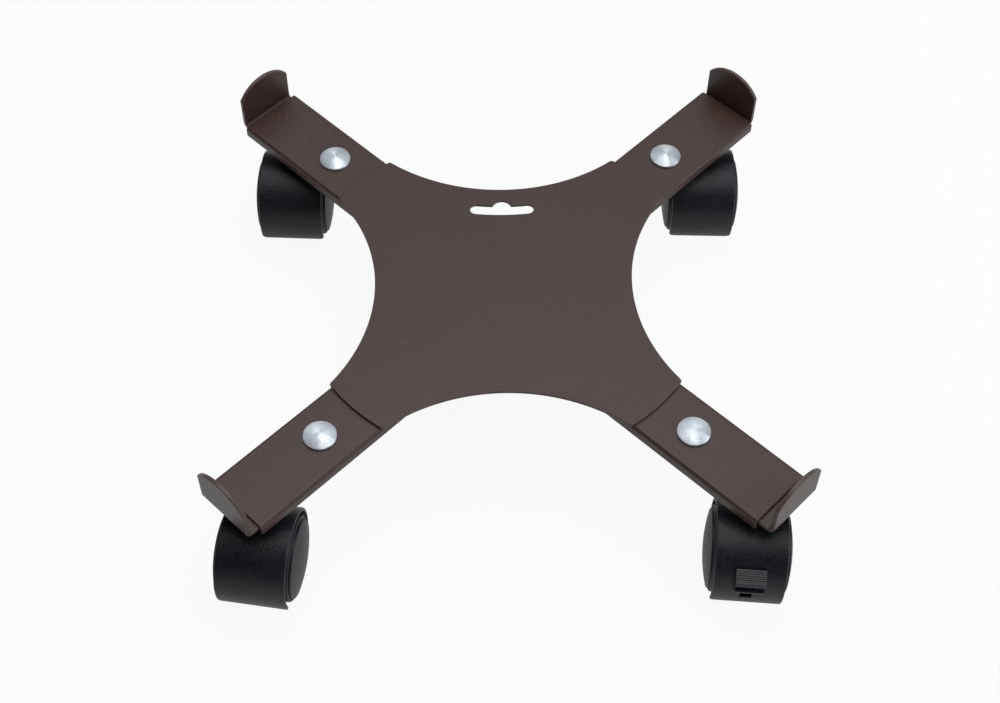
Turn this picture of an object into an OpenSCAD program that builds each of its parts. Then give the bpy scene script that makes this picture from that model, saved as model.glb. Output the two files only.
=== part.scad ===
// Plant pot caddy. A scalloped steel plate lies on four channel arms. In each arm a bar with
// an upturned tab slides in and out past a coach bolt, and it carries a hooded twin-wheel caster.
// The origin is the middle of the plate's top face, +Z is up and +Y points to the back.

/* [Centre plate] */
// Diameter across the plate's four ends
plate_d = 200; // [190:1:215]
// Thickness of the plate
plate_t = 1.5; // [1:0.1:3]
// Width across two opposite scallops
plate_waist = 125; // [118:1:135]
// Radius of each scallop
scallop_r = 92.5; // [85:0.5:100]
// Radius on the plate's corners
plate_corner_r = 1.5; // [0.5:0.1:3]

/* [Hanging slot] */
// Length of the hanging slot
slot_l = 32; // [26:1:36]
// Width of the hanging slot
slot_h = 6; // [4:0.5:7]
// Distance from the plate's middle to the slot
slot_y = 48.6; // [46:0.1:51]
// Diameter of the hook notch in the slot's middle
hook_d = 9.8; // [8:0.1:12]
// Height of the notch above the slot's centre line
hook_rise = 6.4; // [5.5:0.1:7]

/* [Arms] */
// Outer width of an arm
arm_w = 34.4; // [32:0.1:36]
// Outer height of an arm
arm_h = 6; // [4.6:0.1:8]
// Sheet thickness of an arm
arm_t = 1.5; // [1:0.1:1.8]
// Outer radius of an arm's two bends
arm_bend_r = 1.9; // [1.8:0.1:3]
// Distance from the plate's middle to an arm's inner end
arm_root = 30; // [24:1:45]
// Distance from the plate's middle to an arm's outer end
arm_end = 170.7; // [165:0.1:176]

/* [Slide bars] */
// Thickness of a bar and its tab
bar_t = 2; // [1.8:0.1:2.6]
// Gap between a bar's edge and the arm's flange
bar_side_gap = 0.4; // [0.2:0.1:1]
// Gap between a bar and the sheet or washer it slides on
bar_slide_gap = 0.15; // [0.1:0.05:0.3]
// How far a bar slides out of its arm
bar_travel = 50; // [30:1:55]
// Metal left between the slot and the bar's inner end
bar_end_wall = 8; // [5:0.5:14]
// Gap between the tab and the arm's end when a bar is pushed home
tab_home_gap = 1; // [0.95:0.05:2]
// Inside radius of the bend below the tab
tab_bend_r = 1.5; // [1:0.1:1.6]
// Height of the tab's straight sides above the plate
tab_side_h = 13.5; // [8:0.5:16]
// Height of the tab's round top above the plate
tab_top_h = 21.5; // [18:0.5:26]

/* [Coach bolts] */
// Distance from the plate's middle to a bolt
bolt_at = 120.5; // [116:0.5:124]
// Thread diameter, also the width of the square neck
bolt_d = 6; // [5:0.5:7]
// Length under the head
bolt_l = 12; // [11.5:0.5:13]
// Height of the square neck
bolt_neck_h = 3.4; // [2:0.1:3.5]
// Diameter of the cup head
bolt_head_d = 15.6; // [13:0.1:18]
// Height of the cup head
bolt_head_h = 3.3; // [2.5:0.1:4.5]
// Outer diameter of the washer
washer_d = 18; // [14:0.5:22]
// Thickness of the washer
washer_t = 1.6; // [1:0.1:2]
// Width of the nut across its flats
nut_af = 10; // [9:0.5:12]
// Height of the nut
nut_h = 5; // [4:0.1:5.2]

/* [Casters] */
// Distance from the plate's middle to a stem with its bar pushed home
stem_at = 152; // [148:0.5:156]
// Height from the floor to the face that the caster is fixed to
caster_h = 52.5; // [49.5:0.5:60]
// Distance between the stem's axis and the wheels' axis, seen from above
caster_trail = 15.3; // [14.5:0.1:17]
// Diameter of a wheel
wheel_d = 40; // [38:0.5:42]
// Width of the hood
hood_w = 32.6; // [30:0.1:36]
// Wall thickness of the hood
hood_wall = 1.5; // [1.2:0.1:1.8]
// Gap between the tread and the hood
hood_gap = 2; // [1.8:0.1:2.4]
// Angle that the hood reaches below the axle at the back
hood_back_angle = 29; // [22:1:34]
// Angle that the hood reaches below the axle at the front
hood_front_angle = 29; // [22:1:34]
// Radius on the hood's corners
hood_corner_r = 2.8; // [1:0.1:4]
// Width of the middle web
web_w = 12; // [11:0.5:12.5]
// Diameter of the stem
stem_d = 8; // [7:0.5:8.5]
// Length of the stem below its shoulder
stem_l = 19; // [16:0.5:20]
// Diameter of the stem's shoulder
stem_shoulder_d = 16; // [13:0.5:18]
// Thickness of the stem's shoulder
stem_shoulder_t = 2; // [1.5:0.1:2.5]
// Wall of the socket round the stem
socket_wall = 2.5; // [2:0.1:3]
// Diameter of the axle
axle_d = 6; // [5:0.5:7]
// How far the wheel's rim stands out of the hood
wheel_rim_out = 0.6; // [0.3:0.1:1.2]
// Diameter of the raised disc on the wheel
disc_d = 36.8; // [34:0.1:37]
// How far the edge of the disc stands out of the rim
disc_edge_h = 1.1; // [0.9:0.1:1.4]
// How far the disc's crown stands out of its edge
disc_crown_h = 2.2; // [1:0.1:3]

/* [Brake] */
// Width of the lever's pedal
pedal_w = 13.9; // [11:0.1:16]
// Length of the pedal's ridged face
pedal_l = 8.8; // [8:0.1:9.2]
// Slope of the ridged face below the horizontal
pedal_slope = 25; // [20:1:32]
// Height of the pedal's outer end
pedal_t = 5; // [4.6:0.1:5.2]
// Gap between the pedal and the hood
pedal_gap = 1; // [0.9:0.1:1.5]
// Angle above the axle where the pedal's underside meets the hood
pedal_low = 14; // [12:1:15]
// Angle above the axle where the pedal's ridged face meets the hood
pedal_high = 39.7; // [38:0.1:44]
// Width of the slot in the hood below the pedal
lever_slot_w = 5.4; // [4.5:0.1:6]
// Distance of that slot from the hood's middle
lever_side = 1; // [0:0.1:1.5]
// Angle that the lever turns to brake
brake_turn = 5.5; // [4:0.5:5.5]
// Number of ridges on the pedal
ridge_count = 5; // [3:1:6]

/* [Pose in the photograph] */
// How far the front left bar is drawn out
front_left_draw = 3.9; // [0:0.1:30]
// How far the front right bar is drawn out
front_right_draw = 5.3; // [0:0.1:30]
// How far the back left bar is drawn out
back_left_draw = 1.3; // [0:0.1:30]
// How far the back right bar is drawn out
back_right_draw = 0.2; // [0:0.1:30]
// Angle of the front left caster, zero where it trails straight to the front
front_left_heading = 9.6; // [-180:0.1:180]
// Angle of the front right caster
front_right_heading = 5.4; // [-180:0.1:180]
// Angle of the back left caster
back_left_heading = 3; // [-180:0.1:180]
// Angle of the back right caster
back_right_heading = 1.9; // [-180:0.1:180]

/* [Hidden] */
$fn = 96;

// Corners of the caddy, used as an index into the lists below
front_left = 0;
front_right = 1;
back_left = 2;
back_right = 3;
corners = [front_left, front_right, back_left, back_right];
arm_angle = [225, 315, 135, 45];
bar_draw = [front_left_draw, front_right_draw, back_left_draw, back_right_draw];
heading = [front_left_heading, front_right_heading, back_left_heading, back_right_heading];

// Clearances
cut = 1;
running_gap = 0.05;
seat_gap = 0.02;
face_gap = 0.3;
neck_gap = 0.1;

// Plate
scallop_at = plate_waist / 2 + scallop_r;

// Heights of the stacked sheets
arm_top = -plate_t;
arm_under = arm_top - arm_t;
bar_top = arm_under - bar_slide_gap;
bar_under = bar_top - bar_t;
washer_top = bar_under - bar_slide_gap;
nut_top = washer_top - washer_t;

// Slide bar, measured with the bar pushed home
bar_w = arm_w - 2 * arm_t - 2 * bar_side_gap;
bar_slot_gap = 0.25;
bar_slot_w = bolt_d + 2 * bar_slot_gap;
bar_slot_room = 2.5;
bar_root = bolt_at - bar_travel - bar_slot_room - bar_slot_w / 2 - bar_end_wall;
tab_in = arm_end + tab_home_gap;

// Rivet end of the stem
rivet_step = 0.5;
rivet_d = stem_d - 2 * rivet_step;
rivet_lip = 1.5;
rivet_head_d = rivet_d + 2 * rivet_lip;
rivet_head_h = 1.2;

// Caster heights
shoulder_under = bar_under - stem_shoulder_t;
stem_end = shoulder_under - stem_l;
socket_top = shoulder_under - face_gap;
socket_end_gap = 0.5;
socket_floor = stem_end - socket_end_gap;
socket_d = stem_d + 2 * socket_wall;
axle_z = bar_under - caster_h + wheel_d / 2;

// Spring ring on the stem
ring_up = 3;
ring_h = 1.2;
ring_bite = 0.7;
ring_in = stem_d / 2 - ring_bite + running_gap;
ring_proud = 0.5;
ring_out = stem_d / 2 + ring_proud;

// Hood
hood_in = wheel_d / 2 + hood_gap;
hood_r = hood_in + hood_wall;
hood_edge_r = 0.8;
hood_front = 180 + hood_front_angle;
hub_wall = 4.5;
web_drop = axle_d / 2 + hub_wall;
thrust_wall = 2.5;
thrust_r = axle_d / 2 + thrust_wall;

// Wheel, measured along the axle from the caster's middle
wheel_side_gap = 0.9;
wheel_in = socket_d / 2 + wheel_side_gap;
wheel_rim = hood_w / 2 + wheel_rim_out;
disc_edge = wheel_rim + disc_edge_h;
disc_crown = disc_edge + disc_crown_h;
thrust_face = wheel_in - face_gap;
axle_short = 0.9;
axle_half = wheel_rim - axle_short;
wheel_wall = 2.8;
wheel_hub_wall = 3.2;
wheel_hub_r = axle_d / 2 + wheel_hub_wall;
rib_count = 6;
rib_t = 1.6;

// Snap bead in the wheel and the groove for it in the axle
snap_w = 1.6;
snap_inset = 3;
snap_at = axle_half - snap_inset;
snap_depth = 0.4;
bead_r = axle_d / 2 - snap_depth + 2 * running_gap;

// Brake lever, measured round the axle
pedal_in = hood_r + pedal_gap;
pedal_top = pedal_in * [cos(pedal_high), sin(pedal_high)];
pedal_dir = [cos(pedal_slope), -sin(pedal_slope)];
pedal_tip = pedal_top + pedal_l * pedal_dir;
lip_in = 0.2;
lip_t = 0.8;
pedal_toe = pedal_tip - [lip_in, pedal_t];
pedal_heel = (pedal_in - cut) * [cos(pedal_low), sin(pedal_low)];
pedal_skin = 0.9;
grip_depth = 2.8;
grip_top = pedal_tip - pedal_skin * [sin(pedal_slope), cos(pedal_slope)];
grip_back = grip_top - grip_depth * pedal_dir;
grip_floor = pedal_toe.y + lip_t;
ridge_h = 0.4;
ridge_w = 0.6;
ridge_first = 0.9;
ridge_share = 0.7;
ridge_step = (ridge_share * pedal_l - ridge_first) / (ridge_count - 1);
lever_slot_low = -4;
tongue_angle = 22;
lever_slot_above = 10.5;
tongue_h = 5;
tongue_w = lever_slot_w - 2 * face_gap;
pin_d = 2.5;
pin_at = 7;
pin_angle = 105;
lever_hub_wall = 1.9;
lever_hub_r = pin_d / 2 + lever_hub_wall;
shoe_w = 24;
shoe_t = 0.8;
shoe_gap = 0.25;
shoe_out = hood_in - shoe_gap;
shoe_low = 17;
shoe_high = 27;
shoe_room = 3;
web_bite = 0.5;
shoe_spare = 5;
pin_pos = [pin_at * cos(pin_angle), pin_at * sin(pin_angle)];
tongue_bite = 0.75;
tongue_tip = pedal_in * [cos(tongue_angle), sin(tongue_angle)];
tongue_dir = tongue_tip - pin_pos;
tongue_l = norm(tongue_dir) + tongue_bite;
tongue_turn = atan2(tongue_dir.y, tongue_dir.x);

// Colours
coat = [0.33, 0.28, 0.27];
zinc = [0.80, 0.81, 0.82];
black = [0.10, 0.10, 0.11];
dark_steel = [0.45, 0.45, 0.46];

// Placing: an arm's own +X runs out along the arm
module on_arm(corner) {
    rotate([0, 0, arm_angle[corner]])
        children();
}

module on_bar(corner) {
    on_arm(corner)
        translate([bar_draw[corner], 0, 0])
            children();
}

// A caster's own origin is on its stem, and it trails along -Y
module on_caster(corner) {
    reach = stem_at + bar_draw[corner];
    translate(reach * [cos(arm_angle[corner]), sin(arm_angle[corner]), 0])
        rotate([0, 0, -heading[corner]])
            children();
}

// Round the axle: +X trails, +Y is up and Z runs along the axle
module round_axle() {
    translate([0, -caster_trail, axle_z])
        rotate([90, 0, -90])
            children();
}

// A block bent round the axle
module sector(r_in, r_out, low, high, width) {
    rotate([0, 0, low])
        rotate_extrude(angle = high - low)
            translate([r_in, -width / 2])
                square([r_out - r_in, width]);
}

// Shapes of the centre plate
module plate_outline() {
    end_r = plate_d / 2;
    corner_x = (pow(end_r, 2) - pow(scallop_r, 2) + pow(scallop_at, 2)) / (2 * scallop_at);
    corner = [corner_x, sqrt(pow(end_r, 2) - pow(corner_x, 2))];
    in_r = end_r - plate_corner_r;
    out_r = scallop_r + plate_corner_r;
    round_x = (pow(in_r, 2) - pow(out_r, 2) + pow(scallop_at, 2)) / (2 * scallop_at);
    round_at = [round_x, sqrt(pow(in_r, 2) - pow(round_x, 2))];
    centre = [scallop_at, 0];
    on_end = round_at * end_r / in_r;
    on_scallop = centre + (round_at - centre) * scallop_r / out_r;
    difference() {
        circle(r = end_r);
        for (turn = [0 : 90 : 270])
            rotate(turn) {
                translate(centre)
                    circle(r = scallop_r);
                for (side = [0, 1])
                    mirror([0, side])
                        difference() {
                            polygon([round_at, on_end, 2 * corner - round_at, on_scallop]);
                            translate(round_at)
                                circle(r = plate_corner_r + running_gap);
                        }
            }
    }
}

// The slot runs alongside the back scallop
module hanging_slot() {
    bow_r = scallop_at - slot_y;
    half_turn = asin((slot_l - slot_h) / 2 / bow_r);
    far = 2 * bow_r;
    translate([0, scallop_at]) {
        intersection() {
            difference() {
                circle(r = bow_r + slot_h / 2);
                circle(r = bow_r - slot_h / 2);
            }
            polygon([
                [0, 0],
                far * [-sin(half_turn), -cos(half_turn)],
                far * [sin(half_turn), -cos(half_turn)],
            ]);
        }
        for (side = [-1, 1])
            rotate(side * half_turn)
                translate([0, -bow_r])
                    circle(r = slot_h / 2 + running_gap);
    }
    intersection() {
        translate([0, slot_y + hook_rise - hook_d / 2])
            circle(d = hook_d);
        translate([-hook_d / 2, slot_y])
            square([hook_d, hook_rise + cut]);
    }
}

module centre_plate() {
    color(coat)
        translate([0, 0, -plate_t])
            linear_extrude(plate_t)
                difference() {
                    plate_outline();
                    hanging_slot();
                }
}

// Arms
module round_shouldered(width, height, r) {
    translate([-width / 2, -height])
        square([width, height - r]);
    translate([-width / 2 + r, -r])
        square([width - 2 * r, r]);
    for (side = [-1, 1])
        translate([side * (width / 2 - r), -r])
            circle(r = r);
}

module channel_section() {
    difference() {
        round_shouldered(arm_w, arm_h, arm_bend_r);
        translate([0, -arm_t])
            round_shouldered(arm_w - 2 * arm_t, arm_h - arm_t + cut, arm_bend_r - arm_t);
    }
}

module arm(corner) {
    neck_hole = bolt_d + 2 * neck_gap;
    color(coat)
        on_arm(corner)
            difference() {
                translate([arm_root, 0, arm_top])
                    rotate([90, 0, 90])
                        linear_extrude(arm_end - arm_root)
                            channel_section();
                translate([bolt_at, 0, arm_top - arm_t / 2])
                    cube([neck_hole, neck_hole, arm_t + 2 * cut], center = true);
            }
}

// Slide bars
module tab_outline() {
    side_l = tab_side_h - bar_top - tab_bend_r;
    rise = tab_top_h - tab_side_h;
    arc_r = (pow(bar_w / 2, 2) + pow(rise, 2)) / (2 * rise);
    translate([-bar_w / 2, 0])
        square([bar_w, side_l]);
    intersection() {
        translate([0, side_l + rise - arc_r])
            circle(r = arc_r);
        translate([-bar_w / 2, side_l])
            square([bar_w, rise + cut]);
    }
}

module bolt_slot() {
    slot_out = bolt_at + bar_slot_room;
    slot_in = bolt_at - bar_travel - bar_slot_room;
    translate([slot_in, -bar_slot_w / 2])
        square([slot_out - slot_in, bar_slot_w]);
    for (end_at = [slot_in, slot_out])
        translate([end_at, 0])
            circle(d = bar_slot_w);
}

module bent_strip() {
    bend_at = tab_in - tab_bend_r;
    translate([bar_root, -bar_w / 2, bar_under])
        cube([bend_at - bar_root, bar_w, bar_t]);
    translate([bend_at, 0, bar_top + tab_bend_r])
        rotate([90, 0, 0])
            sector(tab_bend_r, tab_bend_r + bar_t, -90, 0, bar_w);
    translate([tab_in, 0, bar_top + tab_bend_r])
        rotate([90, 0, 90])
            linear_extrude(bar_t)
                tab_outline();
}

module slide_bar(corner) {
    color(coat)
        on_bar(corner)
            difference() {
                bent_strip();
                translate([0, 0, bar_under - cut])
                    linear_extrude(bar_t + 2 * cut)
                        bolt_slot();
                translate([stem_at, 0, bar_top])
                    rivet_end(seat_gap);
            }
}

// Stem, with its riveted head flush with the bar
module rivet_end(gap) {
    translate([0, 0, -bar_t - gap])
        cylinder(r = rivet_d / 2 + gap, h = bar_t + gap);
    translate([0, 0, -rivet_head_h - gap])
        cylinder(r1 = rivet_d / 2 + gap, r2 = rivet_head_d / 2 + gap, h = rivet_head_h + gap);
}

module caster_stem(corner) {
    tip_h = 1;
    color(zinc)
        on_caster(corner) {
            difference() {
                union() {
                    translate([0, 0, bar_top])
                        rivet_end(0);
                    translate([0, 0, shoulder_under])
                        cylinder(d = stem_shoulder_d, h = stem_shoulder_t);
                    translate([0, 0, stem_end + tip_h])
                        cylinder(d = stem_d, h = stem_l - tip_h);
                    translate([0, 0, stem_end])
                        cylinder(d1 = stem_d - 2 * tip_h, d2 = stem_d, h = tip_h);
                }
                translate([0, 0, stem_end + ring_up])
                    ring_groove(stem_d / 2 - ring_bite, stem_d / 2 + cut, ring_h + 2 * running_gap);
            }
        }
}

module ring_groove(r_in, r_out, height) {
    rotate_extrude()
        translate([r_in, 0])
            square([r_out - r_in, height]);
}

module stem_ring(corner) {
    ring_turn = 315;
    color(dark_steel)
        on_caster(corner)
            translate([0, 0, stem_end + ring_up + running_gap])
                rotate_extrude(angle = ring_turn)
                    translate([ring_in, 0])
                        square([ring_out - ring_in, ring_h]);
}

// Hood
module hood_section() {
    translate([0, -hood_w / 2])
        square([hood_wall - hood_edge_r, hood_w]);
    translate([0, -hood_w / 2 + hood_edge_r])
        square([hood_wall, hood_w - 2 * hood_edge_r]);
    for (side = [-1, 1])
        translate([hood_wall - hood_edge_r, side * (hood_w / 2 - hood_edge_r)])
            circle(r = hood_edge_r);
}

module hood_corner_cut() {
    translate([hood_in - cut, 0, 0])
        rotate([90, 0, 90])
            linear_extrude(hood_wall + 2 * cut)
                for (side = [0, 1])
                    mirror([0, side])
                        difference() {
                            translate([-cut, hood_w / 2 - hood_corner_r])
                                square([hood_corner_r + cut, hood_corner_r + cut]);
                            translate([hood_corner_r, hood_w / 2 - hood_corner_r])
                                circle(r = hood_corner_r);
                        }
}

module hood_band() {
    difference() {
        rotate([0, 0, -hood_back_angle])
            rotate_extrude(angle = hood_front + hood_back_angle)
                translate([hood_in, 0])
                    hood_section();
        rotate([0, 0, -hood_back_angle])
            hood_corner_cut();
        rotate([0, 0, hood_front])
            mirror([0, 1, 0])
                hood_corner_cut();
    }
}

module hood_web() {
    web_r = hood_in + hood_wall / 2;
    linear_extrude(web_w, center = true)
        intersection() {
            circle(r = web_r);
            translate([-web_r, -web_drop])
                square([2 * web_r, web_r + web_drop]);
        }
    cylinder(r = thrust_r, h = 2 * thrust_face, center = true);
}

// Room for the brake lever in the hood of the braked caster
module lever_room() {
    room_w = tongue_w + 4 * face_gap;
    translate([0, 0, lever_side]) {
        linear_extrude(room_w, center = true)
            intersection() {
                circle(r = hood_in - web_bite);
                translate(pin_pos) {
                    circle(r = lever_hub_r + 2 * face_gap);
                    for (turn = [0, -brake_turn])
                        rotate(tongue_turn + turn)
                            translate([0, -tongue_h / 2 - face_gap])
                                square([tongue_l, tongue_h + 2 * face_gap]);
                }
            }
        sector(hood_in - cut, hood_r + cut, lever_slot_low, tongue_angle + lever_slot_above, lever_slot_w);
    }
    sector(
        hood_in - shoe_room, hood_in + seat_gap,
        shoe_low - brake_turn - shoe_spare, shoe_high + shoe_spare, web_w + cut
    );
    translate(pin_pos)
        cylinder(d = pin_d + 2 * seat_gap, h = web_w + cut, center = true);
}

module caster_hood(corner) {
    color(black)
        on_caster(corner)
            difference() {
                union() {
                    round_axle() {
                        hood_band();
                        hood_web();
                    }
                    translate([0, 0, socket_floor - socket_wall])
                        cylinder(d = socket_d, h = socket_top - socket_floor + socket_wall);
                }
                translate([0, 0, socket_floor])
                    cylinder(d = stem_d + 2 * running_gap, h = socket_top - socket_floor + cut);
                translate([0, 0, stem_end + ring_up - face_gap])
                    ring_groove(stem_d / 2 - cut, ring_out + face_gap, ring_h + 2 * face_gap);
                round_axle() {
                    cylinder(d = axle_d + 2 * seat_gap, h = hood_w, center = true);
                    if (corner == front_right)
                        lever_room();
                }
            }
}

// Axle, with a groove near each end for the wheel's snap bead
module axle_groove() {
    translate([axle_d / 2 - snap_depth, snap_at])
        square([cut, snap_w]);
}

module axle_half_section() {
    tip = 0.6;
    difference() {
        polygon([
            [0, 0],
            [axle_d / 2, 0],
            [axle_d / 2, axle_half - tip],
            [axle_d / 2 - tip, axle_half],
            [0, axle_half],
        ]);
        axle_groove();
    }
}

module caster_axle(corner) {
    color(zinc)
        on_caster(corner)
            round_axle()
                rotate_extrude() {
                    axle_half_section();
                    mirror([0, 1])
                        axle_half_section();
                }
}

// Wheels: a hollow tread with a hub inside and a raised, domed disc outside
module wheel_section() {
    tread_r = wheel_d / 2;
    edge_r = 1.2;
    disc_r = disc_d / 2;
    disc_edge_r = 0.8;
    groove = 0.6;
    dome_foot = disc_r - disc_edge_r;
    dome_r = (pow(dome_foot, 2) + pow(disc_crown_h, 2)) / (2 * disc_crown_h);
    difference() {
        union() {
            translate([0, wheel_in])
                square([tread_r - edge_r, wheel_rim - wheel_in]);
            translate([0, wheel_in + edge_r])
                square([tread_r, wheel_rim - wheel_in - 2 * edge_r]);
            for (along = [wheel_in + edge_r, wheel_rim - edge_r])
                translate([tread_r - edge_r, along])
                    circle(r = edge_r);
            translate([0, wheel_rim - cut])
                square([disc_r, disc_edge_h + cut - disc_edge_r]);
            translate([dome_foot, disc_edge - disc_edge_r])
                circle(r = disc_edge_r);
            intersection() {
                translate([0, disc_crown - dome_r])
                    circle(r = dome_r);
                translate([0, wheel_rim])
                    square([dome_foot + seat_gap, disc_edge_h + disc_crown_h + cut]);
            }
        }
        translate([disc_r, wheel_rim - groove])
            square([groove, groove + cut]);
        translate([-tread_r, wheel_in - cut])
            square([tread_r, disc_crown + cut]);
    }
}

module wheel_hollow() {
    floor_at = wheel_rim - wheel_wall;
    difference() {
        rotate_extrude()
            translate([wheel_hub_r, wheel_in - cut])
                square([wheel_d / 2 - wheel_wall - wheel_hub_r, floor_at - wheel_in + cut]);
        for (rib = [0 : rib_count - 1])
            rotate(rib * 360 / rib_count)
                translate([0, -rib_t / 2, wheel_in + rib_t])
                    cube([wheel_d / 2, rib_t, floor_at - wheel_in]);
    }
}

module wheel_bore() {
    bore_r = axle_d / 2 + running_gap;
    bore_end = axle_half + face_gap;
    difference() {
        translate([0, 0, wheel_in - cut])
            cylinder(r = bore_r, h = bore_end - wheel_in + cut);
        translate([0, 0, snap_at + face_gap])
            ring_groove(bead_r, bore_r + cut, snap_w - 2 * face_gap);
    }
}

module wheel(corner, side) {
    color(black)
        on_caster(corner)
            mirror([side, 0, 0])
                translate([0, -caster_trail, axle_z])
                    rotate([0, 90, 0])
                        difference() {
                            rotate_extrude()
                                wheel_section();
                            wheel_hollow();
                            wheel_bore();
                        }
}

// Brake lever: pedal outside the hood, tongue through its slot, shoe over both treads
module pedal() {
    linear_extrude(pedal_w, center = true) {
        difference() {
            polygon([pedal_top - cut * pedal_dir, pedal_tip, pedal_toe, pedal_heel]);
            circle(r = pedal_in);
            polygon([
                grip_top + grip_depth * pedal_dir, grip_back,
                [grip_back.x, grip_floor], [pedal_tip.x + grip_depth, grip_floor]
            ]);
        }
        for (i = [0 : ridge_count - 1])
            translate(pedal_top + (ridge_first + i * ridge_step) * pedal_dir)
                rotate(-pedal_slope)
                    translate([-ridge_w / 2, -ridge_h])
                        square([ridge_w, 2 * ridge_h]);
    }
}

module brake_lever() {
    color(black)
        on_caster(front_right)
            round_axle()
                difference() {
                    union() {
                        pedal();
                        sector(shoe_out - shoe_t, shoe_out, shoe_low, shoe_high, shoe_w);
                        translate([pin_pos.x, pin_pos.y, lever_side])
                            rotate(tongue_turn) {
                                cylinder(r = lever_hub_r, h = tongue_w, center = true);
                                translate([0, -tongue_h / 2, -tongue_w / 2])
                                    cube([tongue_l, tongue_h, tongue_w]);
                            }
                    }
                    translate(pin_pos)
                        cylinder(d = pin_d + 2 * running_gap, h = web_w, center = true);
                }
}

module brake_pin() {
    color(zinc)
        on_caster(front_right)
            round_axle()
                translate(pin_pos)
                    cylinder(d = pin_d, h = web_w, center = true);
}

// Fasteners, one set per arm
module on_bolts() {
    for (corner = corners)
        on_arm(corner)
            translate([bolt_at, 0, 0])
                children();
}

module cup_head() {
    edge_h = 1.2;
    cap_h = bolt_head_h - edge_h;
    cap_r = (pow(bolt_head_d / 2, 2) + pow(cap_h, 2)) / (2 * cap_h);
    rotate_extrude() {
        square([bolt_head_d / 2, edge_h]);
        intersection() {
            translate([0, bolt_head_h - cap_r])
                circle(r = cap_r);
            translate([0, edge_h])
                square([bolt_head_d / 2, cap_h]);
        }
    }
}

module coach_bolts() {
    color(zinc)
        on_bolts() {
            translate([0, 0, arm_top])
                cup_head();
            translate([-bolt_d / 2, -bolt_d / 2, arm_top - bolt_neck_h])
                cube([bolt_d, bolt_d, bolt_neck_h]);
            translate([0, 0, arm_top - bolt_l])
                cylinder(d = bolt_d, h = bolt_l);
        }
}

module lock_washers() {
    hole_gap = 0.2;
    color(zinc)
        on_bolts()
            translate([0, 0, washer_top - washer_t])
                linear_extrude(washer_t)
                    difference() {
                        circle(d = washer_d);
                        circle(d = bolt_d + 2 * hole_gap);
                    }
}

module lock_nuts() {
    color(zinc)
        on_bolts()
            translate([0, 0, nut_top - nut_h])
                difference() {
                    cylinder(d = nut_af / cos(30), h = nut_h, $fn = 6);
                    translate([0, 0, -cut])
                        cylinder(r = bolt_d / 2 + running_gap, h = nut_h + 2 * cut);
                }
}

centre_plate();
arm(front_left);  // arm_front_left
arm(front_right);  // arm_front_right
arm(back_left);  // arm_back_left
arm(back_right);  // arm_back_right
slide_bar(front_left);  // slide_bar_front_left
slide_bar(front_right);  // slide_bar_front_right
slide_bar(back_left);  // slide_bar_back_left
slide_bar(back_right);  // slide_bar_back_right
caster_stem(front_left);  // caster_stem_front_left
caster_stem(front_right);  // caster_stem_front_right
caster_stem(back_left);  // caster_stem_back_left
caster_stem(back_right);  // caster_stem_back_right
stem_ring(front_left);  // stem_ring_front_left
stem_ring(front_right);  // stem_ring_front_right
stem_ring(back_left);  // stem_ring_back_left
stem_ring(back_right);  // stem_ring_back_right
caster_hood(front_left);  // caster_hood_front_left
caster_hood(front_right);  // caster_hood_front_right
caster_hood(back_left);  // caster_hood_back_left
caster_hood(back_right);  // caster_hood_back_right
caster_axle(front_left);  // caster_axle_front_left
caster_axle(front_right);  // caster_axle_front_right
caster_axle(back_left);  // caster_axle_back_left
caster_axle(back_right);  // caster_axle_back_right
wheel(front_left, 1);  // left_wheel_front_left
wheel(front_right, 1);  // left_wheel_front_right
wheel(back_left, 1);  // left_wheel_back_left
wheel(back_right, 1);  // left_wheel_back_right
wheel(front_left, 0);  // right_wheel_front_left
wheel(front_right, 0);  // right_wheel_front_right
wheel(back_left, 0);  // right_wheel_back_left
wheel(back_right, 0);  // right_wheel_back_right
brake_lever();
brake_pin();
coach_bolts();
lock_washers();
lock_nuts();
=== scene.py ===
"""Looks of the plant pot caddy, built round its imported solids.

Sizes in the classes are in millimetres and become metres when a mesh is made. The origin is the
middle of the plate's top face, +Z is up and +Y points to the back.
"""

from __future__ import annotations

import logging
import math
from collections.abc import Callable, Sequence
from dataclasses import dataclass, field
from enum import Enum

import bmesh
import bpy
from bmesh.types import BMesh, BMVert
from bpy.types import Material, Mesh, Node, NodeOutputs, NodeSocket, NodeTree, Object
from mathutils import Matrix, Vector
from mathutils.geometry import delaunay_2d_cdt


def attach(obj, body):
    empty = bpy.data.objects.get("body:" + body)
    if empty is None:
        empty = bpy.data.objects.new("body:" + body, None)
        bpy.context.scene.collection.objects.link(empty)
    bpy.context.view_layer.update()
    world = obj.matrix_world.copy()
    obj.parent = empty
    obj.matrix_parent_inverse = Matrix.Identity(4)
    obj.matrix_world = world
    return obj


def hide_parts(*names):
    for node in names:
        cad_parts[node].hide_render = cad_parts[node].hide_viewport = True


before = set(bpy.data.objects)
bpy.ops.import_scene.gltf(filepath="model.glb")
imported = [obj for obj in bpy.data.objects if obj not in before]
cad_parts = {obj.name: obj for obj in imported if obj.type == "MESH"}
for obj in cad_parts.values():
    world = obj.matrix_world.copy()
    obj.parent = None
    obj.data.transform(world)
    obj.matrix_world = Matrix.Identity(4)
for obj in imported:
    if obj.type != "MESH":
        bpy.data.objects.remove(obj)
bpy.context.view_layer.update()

MM = 0.001
EDGE_LAYER = "edge"
TURNED_MAP = "turned"

# Distances in millimetres, or in metres on a finished mesh, that count as none.
ONE_POINT = 1e-4
NEAR_ZERO = 1e-6

# Sizes that several pieces share, in millimetres.
PLATE_T = 1.5
ARM_T = 1.5
BAR_T = 2.0
BAR_GAP = 0.15
BAR_TOP = -PLATE_T - ARM_T - BAR_GAP
BAR_UNDER = BAR_TOP - BAR_T
BOLT_AT = 120.5
STEM_AT = 152.0
CASTER_H = 52.5
WHEEL_R = 20.0
GROUND = BAR_UNDER - CASTER_H

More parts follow.
